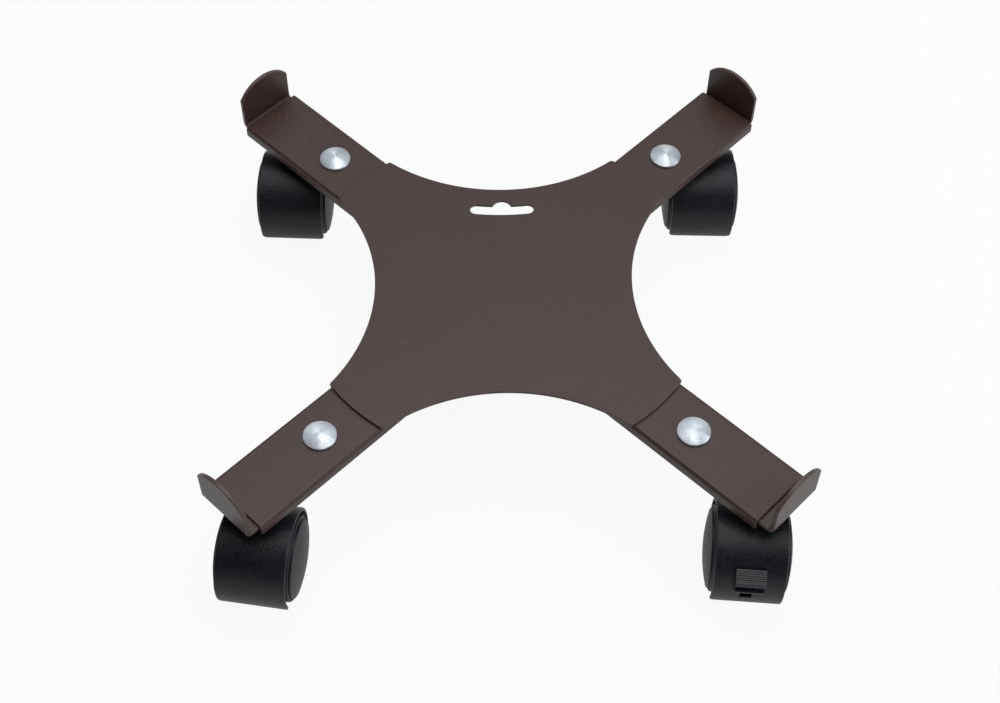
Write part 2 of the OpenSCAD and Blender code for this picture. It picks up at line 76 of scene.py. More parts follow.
# Angles in degrees past which an edge stays sharp.
SHEET_SHARP = 32.0
MOULDED_SHARP = 28.0

# Length of surface that the turned map's U covers, in metres.
TURNED_LENGTH = 10 * MM

Point = tuple[float, float]
Loop = list[Point]
Colour = tuple[float, float, float]
Bend = Callable[[float, float, float], Vector]

log = logging.getLogger("caddy")


class Slot(Enum):
    """Material slots of the record."""

    COAT = "powder_coat"
    ZINC = "zinc"
    SPRING = "spring_steel"
    HOOD = "hood_plastic"
    WHEEL = "wheel_plastic"
    LEVER = "lever_plastic"


class Side(Enum):
    """The two wheels of a caster, with the turn that points a wheel's disc outwards."""

    LEFT = ("left", -90.0)
    RIGHT = ("right", 90.0)

    def __init__(self, label: str, turn: float) -> None:
        """Names the wheel and its turn about Y in degrees."""
        self.label = label
        self.turn = turn


class Corner(Enum):
    """Corners of the caddy: label, arm angle, draw of the bar, heading of the caster."""

    FRONT_LEFT = ("front_left", 225.0, 3.9, 9.6)
    FRONT_RIGHT = ("front_right", 315.0, 5.3, 5.4)
    BACK_LEFT = ("back_left", 135.0, 1.3, 3.0)
    BACK_RIGHT = ("back_right", 45.0, 0.2, 1.9)

    def __init__(self, label: str, arm_angle: float, draw: float, heading: float) -> None:
        """Keeps the corner's label, angles in degrees and draw in millimetres.

        Args:
            label: Name of the corner.
            arm_angle: Angle of its arm in degrees.
            draw: Draw of its bar in millimetres.
            heading: Heading of its caster in degrees.
        """
        self.label = label
        self.arm_angle = arm_angle
        self.draw = draw
        self.heading = heading

    def arm_frame(self) -> Matrix:
        """Frame whose +X runs out along the arm."""
        return turn("Z", self.arm_angle)

    def bar_frame(self) -> Matrix:
        """Frame of the drawn bar, along the arm."""
        return self.arm_frame() @ shift(self.draw, 0, 0)

    def caster_frame(self, stem_at: float) -> Matrix:
        """Frame on the stem's axis, in which the caster trails along -Y.

        Args:
            stem_at: Distance of the stem from the middle with the bar pushed home.

        Returns:
            The frame in millimetres.
        """
        reach = self.arm_frame() @ Vector((stem_at + self.draw, 0, 0))
        return Matrix.Translation(reach) @ turn("Z", -self.heading)


def turn(axis: str, degrees: float) -> Matrix:
    """Rotation about one axis."""
    return Matrix.Rotation(math.radians(degrees), 4, axis)


def shift(x: float, y: float, z: float) -> Matrix:
    """Translation in millimetres."""
    return Matrix.Translation((x, y, z))


def polar(radius: float, degrees: float) -> Point:
    """Point at a radius and an angle."""
    return (radius * math.cos(math.radians(degrees)), radius * math.sin(math.radians(degrees)))


def arc(centre: Point, radius: float, start: float, stop: float, step: float = 4.0) -> Loop:
    """Points along an arc, both ends included.

    Args:
        centre: Centre of the arc.
        radius: Radius of the arc.
        start: First angle in degrees.
        stop: Last angle in degrees.
        step: Largest angle between two points.

    Returns:
        The points in order.
    """
    count = max(2, math.ceil(abs(stop - start) / step))
    points = []
    for i in range(count + 1):
        x, y = polar(radius, start + (stop - start) * i / count)
        points.append((centre[0] + x, centre[1] + y))
    return points


def without_doubles(loop: Loop, least: float = ONE_POINT) -> Loop:
    """The loop with each point that repeats its neighbour left out.

    Args:
        loop: Points in order.
        least: Least distance between two.

    Returns:
        The points that are left.
    """
    kept: Loop = []
    for point in loop:
        if not kept or math.dist(point, kept[-1]) > least:
            kept.append(point)
    if math.dist(kept[0], kept[-1]) <= least:
        kept.pop()
    return kept


def soften(corners: Loop, radii: Sequence[float], step: float = 15.0) -> Loop:
    """A polygon with round corners.

    Args:
        corners: Corners in order.
        radii: Radius on each corner, 0 where it stays sharp.
        step: Largest angle between two points of a corner.

    Returns:
        The loop.
    """
    loop: Loop = []
    for before, here, after, r in zip(corners[-1:] + corners[:-1], corners, corners[1:] + corners[:1], radii):
        back = (Vector(before) - Vector(here)).normalized()
        ahead = (Vector(after) - Vector(here)).normalized()
        half = back.angle(ahead) / 2
        nearly_straight = half > math.radians(89)
        if r == 0 or nearly_straight:
            loop.append(here)
            continue
        centre = Vector(here) + (back + ahead).normalized() * (r / math.sin(half))
        first = Vector(here) + back * (r / math.tan(half)) - centre
        last = Vector(here) + ahead * (r / math.tan(half)) - centre
        start = math.degrees(math.atan2(first.y, first.x))
        sweep = math.degrees(math.atan2(first.x * last.y - first.y * last.x, first.dot(last)))
        loop += arc(tuple(centre), r, start, start + sweep, step)
    return without_doubles(loop)


def rounded_box(u0: float, u1: float, v0: float, v1: float, r: float, step: float = 12.0) -> Loop:
    """Rectangle with round corners, counter-clockwise.

    Args:
        u0: Low end along the first axis.
        u1: High end along the first axis.
        v0: Low end along the second axis.
        v1: High end along the second axis.
        r: Corner radius.
        step: Largest angle between two points of a corner.

    Returns:
        The loop.
    """
    return soften([(u1, v0), (u1, v1), (u0, v1), (u0, v0)], [r] * 4, step)


def round_hole(centre: Point, radius: float, step: float = 10.0) -> Loop:
    """Circle as a hole, clockwise."""
    return without_doubles(arc(centre, radius, 360, 0, step))


@dataclass
class Blank:
    """A sheet cut to an outline, with rounded edges, that can be bent to shape."""

    outline: Loop  # Outer loop in the flat, counter-clockwise.
    thickness: float  # Thickness of the sheet.
    top_r: float  # Radius on the upper edges.
    bottom_r: float  # Radius on the lower edges.
    holes: list[Loop] = field(default_factory=list)  # Inner loops, clockwise.
    hole_r: float = 0.25  # Radius on both edges of the holes.
    u_lines: Sequence[float] = ()  # Places along the first axis where the sheet bends.
    v_lines: Sequence[float] = ()  # Places along the second axis where the sheet bends.
    edge_steps: int = 3  # Facets across a rounded edge.
    least_lean: float = 0.3  # Limit on how far a sharp corner is moved in.

    def _split(self, loop: Loop) -> Loop:
        """The loop with points added where it crosses a bend line.

        Args:
            loop: Loop in the flat.

        Returns:
            The longer loop.
        """
        result: Loop = []
        for start, stop in zip(loop, loop[1:] + loop[:1]):
            shares = [0.0]
            for axis, lines in enumerate((self.u_lines, self.v_lines)):
                span = stop[axis] - start[axis]
                if abs(span) > ONE_POINT:
                    shares += [(x - start[axis]) / span for x in lines]
            for share in sorted(s for s in shares if 0 <= s < 1):
                result.append(tuple(a + (b - a) * share for a, b in zip(start, stop)))
        return without_doubles(result)

    def _inset(self, loop: Loop, distance: float) -> Loop:
        """The loop moved into the material by a distance.

        Args:
            loop: Loop in the flat.
            distance: How far it moves.

        Returns:
            The moved loop.
        """
        moved: Loop = []
        for before, here, after in zip(loop[-1:] + loop[:-1], loop, loop[1:] + loop[:1]):
            first = (Vector(here) - Vector(before)).normalized()
            second = (Vector(after) - Vector(here)).normalized()
            across = Vector((-first.y - second.y, first.x + second.x)).normalized()
            lean = max(self.least_lean, across.dot(Vector((-first.y, first.x))))
            moved.append(tuple(Vector(here) + across * (distance / lean)))
        return moved

    def _rings(self, low_r: float, high_r: float) -> list[tuple[float, float, float]]:
        """Inset, height and edge weight of each ring from the lower face to the upper face.

        Args:
            low_r: Radius on the lower edge.
            high_r: Radius on the upper edge.

        Returns:
            The rings in order.
        """
        rings = []
        for i in range(self.edge_steps + 1):
            angle = math.radians(90 - 90 * i / self.edge_steps)
            inset = low_r * (1 - math.cos(angle))
            rings.append((inset, low_r * (1 - math.sin(angle)), float(i > 0)))
        for i in range(self.edge_steps + 1):
            angle = math.radians(90 * i / self.edge_steps)
            inset = high_r * (1 - math.cos(angle))
            height = self.thickness - high_r * (1 - math.sin(angle))
            rings.append((inset, height, float(i < self.edge_steps)))
        return rings

    def _bend_edges(self, loops: Sequence[Loop]) -> list[tuple[int, int]]:
        """Edges along the bend lines, from where each enters the sheet to where it leaves it.

        Args:
            loops: All loops, split at the bend lines.

        Returns:
            Pairs of indices of the loops' points.
        """
        points = [point for loop in loops for point in loop]
        edges = []
        for axis, lines in enumerate((self.u_lines, self.v_lines)):
            for line in lines:
                on_line = [i for i, point in enumerate(points) if abs(point[axis] - line) < 2 * ONE_POINT]
                on_line.sort(key=lambda i: points[i][1 - axis])
                edges += zip(on_line[::2], on_line[1::2])
        return edges

    @staticmethod
    def _crossings(loop: Loop, point: Vector) -> int:
        """How often a ray from a point along the first axis crosses a loop.

        Args:
            loop: The loop.
            point: Where the ray starts.

        Returns:
            The number of crossings.
        """
        count = 0
        for (u0, v0), (u1, v1) in zip(loop, loop[1:] + loop[:1]):
            if (v0 > point.y) != (v1 > point.y):
                count += point.x < u0 + (point.y - v0) * (u1 - u0) / (v1 - v0)
        return count

    def _fill(self, loops: Sequence[Loop], bend_edges: list[tuple[int, int]]) -> list[list[int]]:
        """Triangles that fill the sheet between its loops, as indices of the loops' points.

        Args:
            loops: All loops of one face.
            bend_edges: Edges that the triangles keep.

        Returns:
            The triangles.
        """
        coords = [Vector(point) for loop in loops for point in loop]
        edges = list(bend_edges)
        base = 0
        for loop in loops:
            count = len(loop)
            edges += [(base + i, base + (i + 1) % count) for i in range(count)]
            base += count
        verts, _, faces, origins, *_ = delaunay_2d_cdt(coords, edges, [], 1, NEAR_ZERO / 10)
        source = [ids[0] for ids in origins]
        triangles = []
        for corners in faces:
            middle = sum((verts[i] for i in corners), Vector((0, 0))) / 3
            if sum(self._crossings(loop, middle) for loop in loops) % 2:
                triangles.append([source[i] for i in corners])
        return triangles

    def add_to(self, bm: BMesh, bend: Bend) -> None:
        """Adds the bent sheet as a closed shell.

        Args:
            bm: Mesh that takes the shell.
            bend: Maps a point of the flat sheet, with its height, to its place.
        """
        layer = bm.verts.layers.float.get(EDGE_LAYER) or bm.verts.layers.float.new(EDGE_LAYER)
        loops = [self._split(loop) for loop in [self.outline, *self.holes]]
        bend_edges = self._bend_edges(loops)
        edge_rings = self._rings(self.bottom_r, self.top_r)
        hole_rings = self._rings(self.hole_r, self.hole_r)
        caps: dict[int, list[tuple[Loop, list[BMVert]]]] = {0: [], len(edge_rings) - 1: []}
        faces = []
        for number, loop in enumerate(loops):
            rings = hole_rings if number else edge_rings
            stack = []
            for k, (inset, height, edge) in enumerate(rings):
                flat = self._inset(loop, inset)
                row = [bm.verts.new(bend(u, v, height)) for u, v in flat]
                for vert in row:
                    vert[layer] = edge
                stack.append(row)
                if k in caps:
                    caps[k].append((flat, row))
            for low, high in zip(stack, stack[1:]):
                for i in range(len(low)):
                    j = (i + 1) % len(low)
                    faces.append(bm.faces.new((low[i], low[j], high[j], high[i])))
        for cap in caps.values():
            flats = [flat for flat, _ in cap]
            verts = [vert for _, row in cap for vert in row]
            faces += [bm.faces.new([verts[i] for i in corners]) for corners in self._fill(flats, bend_edges)]
        bmesh.ops.recalc_face_normals(bm, faces=faces)


def add_lathe(bm: BMesh, profile: Loop, segments: int, place: Matrix) -> None:
    """Adds a solid turned about the local Z axis.

    Args:
        bm: Mesh that takes the solid.
        profile: Closed loop of (radius, height) points.
        segments: Facets round the axis.
        place: Frame of the solid.
    """
    rows: list[list[BMVert]] = []
    for radius, height in profile:
        count = 1 if radius < NEAR_ZERO else segments
        rows.append([
            bm.verts.new(place @ Vector((*polar(radius, 360 * i / segments), height)))
            for i in range(count)
        ])
    faces = []
    for low, high in zip(rows, rows[1:] + rows[:1]):
        if len(low) == len(high) == 1:
            continue
        for i in range(segments):
            j = (i + 1) % segments
            corners = [low[i % len(low)], low[j % len(low)], high[j % len(high)], high[i % len(high)]]
            faces.append(bm.faces.new(list(dict.fromkeys(corners))))
    bmesh.ops.recalc_face_normals(bm, faces=faces)


def add_box(bm: BMesh, size: Sequence[float], place: Matrix, bevel: float = 0.0) -> None:
    """Adds a block with its middle at a frame's origin.

    Args:
        bm: Mesh that takes the block.
        size: Three lengths.
        place: Frame of the block.
        bevel: Width of the rounding on its edges.
    """
    made = bmesh.ops.create_cube(bm, size=1.0, matrix=place @ Matrix.Diagonal((*size, 1.0)))
    if bevel:
        edges = list({edge for vert in made["verts"] for edge in vert.link_edges})
        bmesh.ops.bevel(bm, geom=edges, offset=bevel, segments=2, profile=0.5, affect="EDGES")


def new_object(name: str, bm: BMesh) -> Object:
    """Makes an object of a mesh in millimetres, and frees the mesh.

    Args:
        name: Name of the piece.
        bm: Its mesh.

    Returns:
        The object, in metres and linked to the scene.
    """
    bmesh.ops.scale(bm, vec=(MM, MM, MM), verts=bm.verts)
    mesh = bpy.data.meshes.new(name)
    bm.to_mesh(mesh)
    bm.free()
    obj = bpy.data.objects.new(name, mesh)
    bpy.context.scene.collection.objects.link(obj)
    return obj


def in_metres(place: Matrix) -> Matrix:
    """A frame in millimetres as one in metres."""
    return Matrix.Translation(place.translation * MM) @ place.to_3x3().to_4x4()


def bake_modifiers(obj: Object) -> None:
    """Turns what an object's modifiers make into its own plain mesh.

    Args:
        obj: The object.
    """
    graph = bpy.context.evaluated_depsgraph_get()
    graph.update()
    made = bpy.data.meshes.new_from_object(obj.evaluated_get(graph), depsgraph=graph)
    old = obj.data
    obj.modifiers.clear()
    obj.data = made
    bpy.data.meshes.remove(old)
    made.name = obj.name


def face_outwards(obj: Object) -> None:
    """Turns all faces of a closed mesh outwards.

    Args:
        obj: Object with that mesh.
    """
    bm = bmesh.new()
    bm.from_mesh(obj.data)
    bmesh.ops.recalc_face_normals(bm, faces=bm.faces)
    bm.to_mesh(obj.data)
    bm.free()


def combine(
    obj: Object,
    joins: Sequence[Object] = (),
    cuts: Sequence[Object] = (),
) -> None:
    """Joins closed shells to an object and cuts others out of it, and removes them.

    Args:
        obj: Object that is changed.
        joins: Shells that are added.
        cuts: Shells that are taken away.
    """
    for operation, others in (("UNION", joins), ("DIFFERENCE", cuts)):
        for other in others:
            modifier = obj.modifiers.new("shape", "BOOLEAN")
            modifier.operation = operation
            modifier.solver = "MANIFOLD"
            modifier.object = other
    bake_modifiers(obj)
    for other in [*joins, *cuts]:
        mesh = other.data
        bpy.data.objects.remove(other)
        bpy.data.meshes.remove(mesh)


def smooth(obj: Object, sharp: float = SHEET_SHARP) -> None:
    """Shades a piece smooth, with flat faces kept flat and edges past an angle kept sharp.

    Args:
        obj: The piece.
        sharp: That angle in degrees.
    """
    obj.data.shade_smooth()
    obj.data.set_sharp_from_angle(angle=math.radians(sharp))
    modifier = obj.modifiers.new("normals", "WEIGHTED_NORMAL")
    modifier.mode = "FACE_AREA"
    modifier.keep_sharp = True
    bake_modifiers(obj)


class Wiring:
    """Adds and links the nodes of one tree."""

    def __init__(self, tree: NodeTree) -> None:
        """Takes the tree that is filled."""
        self.tree = tree

    def socket(self, name: str, kind: str, default: object = None, out: bool = False) -> None:
        """Adds a named input or output to the tree.

        Args:
            name: Name of the socket.
            kind: Type of the socket, such as NodeSocketFloat.
            default: Its default value.
            out: Whether it is an output.
        """
        made = self.tree.interface.new_socket(
            name, in_out="OUTPUT" if out else "INPUT", socket_type=kind
        )
        if default is not None:
            made.default_value = default

    def node(
        self, kind: str, inputs: dict[str | int, object] | None = None, **settings: object
    ) -> Node:
        """Adds a node.

        Args:
            kind: Type of the node.
            inputs: Values or output sockets for its inputs, by name or index.
            **settings: Properties of the node.

        Returns:
            The node.
        """
        made = self.tree.nodes.new(kind)
        for key, value in settings.items():
            setattr(made, key, value)
        self.fill(made, inputs or {})
        return made

    def fill(self, node: Node, inputs: dict[str | int, object]) -> None:
        """Sets or links a node's inputs.

        Args:
            node: The node.
            inputs: Values or output sockets for its inputs, by name or index.
        """
        for key, value in inputs.items():
            if isinstance(value, NodeSocket):
                self.tree.links.new(value, node.inputs[key])
            else:
                node.inputs[key].default_value = value

    def math(self, operation: str, first: object, second: object = 0.0) -> NodeSocket:
        """Adds a math node in either kind of tree and gives its result."""
        made = self.node("ShaderNodeMath", {0: first, 1: second}, operation=operation)
        return made.outputs[0]

    def mix(self, share: object, first: object, second: object) -> NodeSocket:
        """Adds a colour mix and gives its result."""
        made = self.node("ShaderNodeMix", {0: share, 6: first, 7: second}, data_type="RGBA")
        return made.outputs[2]

    def ramp(self, value: object, low: float, high: float) -> NodeSocket:
        """Stretches 0 to 1 to the span from low to high."""
        made = self.node("ShaderNodeMapRange", {0: value, 3: low, 4: high})
        return made.outputs[0]

    def around(self, value: object, middle: float, span: float) -> NodeSocket:
        """Stretches 0 to 1 to a span on either side of a middle."""
        return self.ramp(value, middle - span, middle + span)

    def noise(
        self, place: NodeSocket, scale: object, detail: float,
        roughness: float = 0.5, distortion: float = 0.0,
    ) -> NodeSocket:
        """Adds a noise texture and gives its value.

        Args:
            place: Where the noise is read.
            scale: Its scale, as a value or a socket.
            detail: Number of finer layers.
            roughness: Strength of the finer layers.
            distortion: How far it is warped.

        Returns:
            The noise, from 0 to 1.
        """
        made = self.node("ShaderNodeTexNoise", {
            "Vector": place, "Scale": scale, "Detail": detail,
            "Roughness": roughness, "Distortion": distortion,
        })
        return made.outputs[0]


def shader_group(
    name: str, sockets: dict[str, float], outputs: Sequence[str]
) -> tuple[Wiring, NodeOutputs, NodeSocket]:
    """Starts a shader group that puts out values.

    Args:
        name: Name of the group.
        sockets: Float inputs with their defaults.
        outputs: Names of the float outputs.

    Returns:
        What fills the group, the sockets of its inputs, and a place in the object's own space.
    """
    wire = Wiring(bpy.data.node_groups.new(name, "ShaderNodeTree"))
    for label, value in sockets.items():
        wire.socket(label, "NodeSocketFloat", value)
    for label in outputs:
        wire.socket(label, "NodeSocketFloat", out=True)
    given = wire.node("NodeGroupInput").outputs
    place = wire.node("ShaderNodeTexCoord").outputs["Object"]
    return wire, given, place


def geometry_tree(name: str, sockets: dict[str, int | float]) -> tuple[Wiring, NodeOutputs]:
    """Starts a geometry tree that takes a mesh, some sizes and a material.

    Args:
        name: Name of the tree.
        sockets: Inputs for the sizes with their defaults, counts as whole numbers.

    Returns:
        What fills the tree, and the sockets of its inputs.
    """
    wire = Wiring(bpy.data.node_groups.new(name, "GeometryNodeTree"))
    wire.socket("Geometry", "NodeSocketGeometry")
    for label, value in sockets.items():
        wire.socket(label, "NodeSocketInt" if isinstance(value, int) else "NodeSocketFloat", value)
    wire.socket("Material", "NodeSocketMaterial")
    wire.socket("Geometry", "NodeSocketGeometry", out=True)
    return wire, wire.node("NodeGroupInput").outputs


def end_tree(wire: Wiring, shape: NodeSocket, material: NodeSocket) -> None:
    """Ends a geometry tree with a plain mesh that carries its material.

    Args:
        wire: What fills the tree.
        shape: The finished geometry.
        material: The tree's material.
    """
    plain = wire.node("GeometryNodeRealizeInstances", {0: shape})
    dressed = wire.node("GeometryNodeSetMaterial", {"Geometry": plain.outputs[0], "Material": material})
    wire.node("NodeGroupOutput", {0: dressed.outputs[0]})


class SurfaceGroups:
    """Shader groups that several finishes share, each built once."""

    def __init__(self) -> None:
        """Builds the groups."""
        self.grain = self._grain()
        self.pebble = self._pebble()
        self.mottle = self._mottle()
        self.edge_wear_and_highlight = self._edge_wear_and_highlight()

    @staticmethod
    def _grain() -> NodeTree:
        """Fine noise in the object's own space: a height for bump and a slow shade.

        Returns:
            The group.
        """
        sizes = {"Scale": 1200.0, "Slow Scale": 25.0}
        wire, given, place = shader_group("fine_grain", sizes, ("Height", "Shade"))
        fine = wire.noise(place, given["Scale"], detail=3.0, roughness=0.6)
        slow = wire.noise(place, given["Slow Scale"], detail=4.0, roughness=0.55)
        wire.node("NodeGroupOutput", {"Height": fine, "Shade": slow})
        return wire.tree

    @staticmethod
    def _pebble() -> NodeTree:
        """Moulded texture of small rounded pebbles.

        Returns:
            The group.
        """
        wire, given, place = shader_group("moulded_pebble", {"Scale": 1500.0}, ("Height",))
        cells = wire.node(
            "ShaderNodeTexVoronoi",
            {"Vector": place, "Scale": given["Scale"], "Smoothness": 0.6},
            feature="SMOOTH_F1",
        )
        domes = wire.math("SUBTRACT", 1.0, cells.outputs["Distance"])
        finer = wire.math("MULTIPLY", given["Scale"], 1.7)
        height = wire.math("MULTIPLY", domes, wire.noise(place, finer, detail=2.0))
        wire.node("NodeGroupOutput", {"Height": height})
        return wire.tree

    @staticmethod
    def _mottle() -> NodeTree:
        """Cloudy patches, such as plating or handling leaves on a surface.

        Returns:
            The group.
        """
        sizes = {"Scale": 300.0, "Contrast": 1.5}
        wire, given, place = shader_group("cloudy_patches", sizes, ("Mask",))
        cloud = wire.noise(place, given["Scale"], detail=5.0, roughness=0.62, distortion=0.7)
        middle = 0.5
        spread = wire.math("MULTIPLY", wire.math("SUBTRACT", cloud, middle), given["Contrast"])
        mask = wire.node("ShaderNodeClamp", {0: wire.math("ADD", spread, middle)})
        wire.node("NodeGroupOutput", {"Mask": mask.outputs[0]})
        return wire.tree

    @staticmethod
    def _edge_wear_and_highlight() -> NodeTree:
        """Edges where a coat is thin and worn and a highlight is painted, broken up by noise.

        Returns:
            The group.
        """
        sizes = {"Edge": 0.0, "Scale": 180.0, "Amount": 0.5}
        wire, given, place = shader_group("worn_and_highlit_edges", sizes, ("Mask",))
        patches = wire.ramp(wire.noise(place, given["Scale"], detail=3.0), 0.2, 1.0)
        broken = wire.math("MULTIPLY", given["Edge"], patches)
        wire.node("NodeGroupOutput", {"Mask": wire.math("MULTIPLY", broken, given["Amount"])})
        return wire.tree


def linear(colour: Colour) -> tuple[float, float, float, float]:
    """A display colour of 0 to 255 as a scene colour.

    Args:
        colour: Red, green and blue levels.

    Returns:
        The colour with an alpha of 1.
    """
    parts = []
    for level in colour:
        share = level / 255
        parts.append(share / 12.92 if share <= 0.04045 else ((share + 0.055) / 1.055) ** 2.4)
    return (*parts, 1.0)


@dataclass(frozen=True)
class Finish:
    """What every finish shares: a material with one principled shader."""

    name: str  # Name of the material.
    colour: Colour  # Main colour, 0 to 255.
    roughness: float  # Middle of its roughness.
    specular: float  # Specular level.

    def start(self) -> tuple[Material, Wiring, Node]:
        """Makes the material with its constants set.

        Returns:
            The material, what fills its tree, and its shader.
        """
        material = bpy.data.materials.new(self.name)
        material.use_nodes = True
        material.diffuse_color = linear(self.colour)
        wire = Wiring(material.node_tree)
        shader = material.node_tree.nodes["Principled BSDF"]
        shader.inputs["Specular IOR Level"].default_value = self.specular
        return material, wire, shader

    @staticmethod
    def group(wire: Wiring, tree: NodeTree, values: dict[str, object]) -> NodeOutputs:
        """Places a shared group with its own values and gives its outputs.

        Args:
            wire: What fills the material's tree.
            tree: The group.
            values: Values or sockets for its inputs.

        Returns:
            Its outputs.
        """
        made = wire.node("ShaderNodeGroup", node_tree=tree)
        wire.fill(made, values)
        return made.outputs

    def shaded(
        self, wire: Wiring, level: NodeSocket, speck: NodeSocket
    ) -> NodeSocket:
        """The main colour, made lighter or darker by two factors.

        Args:
            wire: What fills the material's tree.
            level: Slow factor.
            speck: Fine factor.

        Returns:
            The colour.
        """
        value = wire.math("MULTIPLY", level, speck)
        made = wire.node("ShaderNodeHueSaturation", {"Value": value, "Color": linear(self.colour)})
        return made.outputs[0]

    @staticmethod
    def bump(
        wire: Wiring, height: NodeSocket, strength: float, depth: float
    ) -> NodeSocket:
        """Adds a bump and gives its normal.

        Args:
            wire: What fills the material's tree.
            height: Height of the surface, from 0 to 1.
            strength: Strength of the bump.
            depth: Depth of the bump in metres.

        Returns:
            The normal.
        """
        made = wire.node("ShaderNodeBump", {"Strength": strength, "Distance": depth, "Height": height})
        return made.outputs[0]


@dataclass(frozen=True)
class PowderCoat(Finish):
    """Fine-textured powder coat, lighter where it thins and wears over an edge, with a painted highlight
    there too.
    """

    edge_highlight_and_wear_colour: Colour = (128, 114, 109)  # Colour of the edges: thin, worn coat with a painted highlight.
    edge_highlight_and_wear_share: float = 0.45  # How far that colour shows.
    edge_scale: float = 220.0  # Scale of the noise that breaks up the edges, per metre.
    grain_scale: float = 950.0  # Scale of the fine grain, per metre.
    grain_tone: float = 0.55  # How far the grain shows in the colour.
    grain_strength: float = 0.5  # Strength of the grain's bump.
    grain_depth: float = 0.00016  # Depth of the grain in metres.
    cloud_scale: float = 22.0  # Scale of the slow shade, per metre.
    cloud_tone: float = 0.1  # How far the slow shade shows in the colour.
    sheen_span: float = 0.05  # How far the roughness varies.

    def material(self, groups: SurfaceGroups) -> Material:
        """Builds the material from the shared groups.

        Args:
            groups: The shared groups.

        Returns:
            The material.
        """
        material, wire, shader = self.start()
        grain = self.group(wire, groups.grain, {"Scale": self.grain_scale, "Slow Scale": self.cloud_scale})
        # Rounded edges take a lighter colour: thin, worn coat and a painted highlight.
        edge = wire.node("ShaderNodeAttribute", attribute_name=EDGE_LAYER).outputs["Fac"]
        edge_wear_and_highlight = self.group(
            wire, groups.edge_wear_and_highlight, {"Edge": edge, "Scale": self.edge_scale, "Amount": self.edge_highlight_and_wear_share}
        )
        level = wire.around(grain["Shade"], 1.0, self.cloud_tone)
        speck = wire.around(grain["Height"], 1.0, self.grain_tone)
        tone = self.shaded(wire, level, speck)
        wire.fill(shader, {
            "Base Color": wire.mix(edge_wear_and_highlight["Mask"], tone, linear(self.edge_highlight_and_wear_colour)),
            "Roughness": wire.around(grain["Height"], self.roughness, self.sheen_span),
            "Normal": self.bump(wire, grain["Height"], self.grain_strength, self.grain_depth),
        })
        return material


@dataclass(frozen=True)
class PlatedSteel(Finish):
    """Plated steel with cloudy patches of brighter and duller plating."""

    dull_colour: Colour  # Colour of the duller patches.
    metallic: float  # How far it shines as bare metal.
    turned: float = 0.0  # How far its sheen runs out from the axis that it was turned about.
    patch_scale: float = 420.0  # Scale of the patches, per metre.
    patch_contrast: float = 2.4  # How clearly the patches part.
    dull_rough: float = 0.10  # How much rougher the dull patches are.
    bright_rough: float = 0.06  # How much smoother the bright patches are.
    grain_scale: float = 900.0  # Scale of the fine unevenness, per metre.
    grain_strength: float = 0.12  # Strength of its bump.
    grain_depth: float = 0.00010  # Its depth in metres.

    def material(self, groups: SurfaceGroups) -> Material:
        """Builds the material from the shared groups.

        Args:
            groups: The shared groups.

        Returns:
            The material.
        """
        material, wire, shader = self.start()
        cloud = self.group(
            wire, groups.mottle, {"Scale": self.patch_scale, "Contrast": self.patch_contrast}
        )["Mask"]
        grain = self.group(wire, groups.grain, {"Slow Scale": self.grain_scale})["Shade"]
        dull, bright = self.roughness + self.dull_rough, self.roughness - self.bright_rough
        wire.fill(shader, {
            "Base Color": wire.mix(cloud, linear(self.dull_colour), linear(self.colour)),
            "Metallic": self.metallic,
            "Roughness": wire.ramp(cloud, dull, bright),
            "Normal": self.bump(wire, grain, self.grain_strength, self.grain_depth),
        })
        if self.turned:
            sheen = wire.node("ShaderNodeTangent", direction_type="UV_MAP", uv_map=TURNED_MAP)
            wire.fill(shader, {"Anisotropic": self.turned, "Tangent": sheen.outputs[0]})
        return material


@dataclass(frozen=True)
class MouldedPlastic(Finish):
    """Moulded black plastic with a pebbled texture, with painted highlights on the pebbles' peaks and painted
    shade in their pits.
    """

    pebble_scale: float  # Pebbles per metre.
    pebble_depth: float  # Depth of the texture in metres.
    painted_sparkle: float = 0.2  # How far the painted highlight on the pebbles' peaks and painted shade in their pits show in the colour.
    pit_painted_shade: float = 1.4  # Share of that by which the pits are painted darker, as shade.
    peak_painted_highlight: float = 3.4  # Share of that by which the peaks are painted lighter, as highlight.
    pebble_strength: float = 0.8  # Strength of the texture's bump.
    cloud_scale: float = 60.0  # Scale of the slow shade, per metre.
    cloud_contrast: float = 1.4  # How clearly its patches part.
    cloud_tone: float = 0.15  # How far the slow shade shows in the colour.
    sheen_span: float = 0.05  # How far the roughness varies.

    def material(self, groups: SurfaceGroups) -> Material:
        """Builds the material from the shared groups.

        Args:
            groups: The shared groups.

        Returns:
            The material.
        """
        material, wire, shader = self.start()
        pebble = self.group(wire, groups.pebble, {"Scale": self.pebble_scale})["Height"]
        cloud = self.group(
            wire, groups.mottle, {"Scale": self.cloud_scale, "Contrast": self.cloud_contrast}
        )["Mask"]
        level = wire.around(cloud, 1.0, self.cloud_tone)
        # Painted sparkle: the pebbles' peaks lighter and their pits darker in the base colour.
        speck = wire.ramp(pebble, 1 - self.pit_painted_shade * self.painted_sparkle, 1 + self.peak_painted_highlight * self.painted_sparkle)
        wire.fill(shader, {
            "Base Color": self.shaded(wire, level, speck),
            "Roughness": wire.around(cloud, self.roughness, self.sheen_span),
            "Normal": self.bump(wire, pebble, self.pebble_strength, self.pebble_depth),
        })
        return material


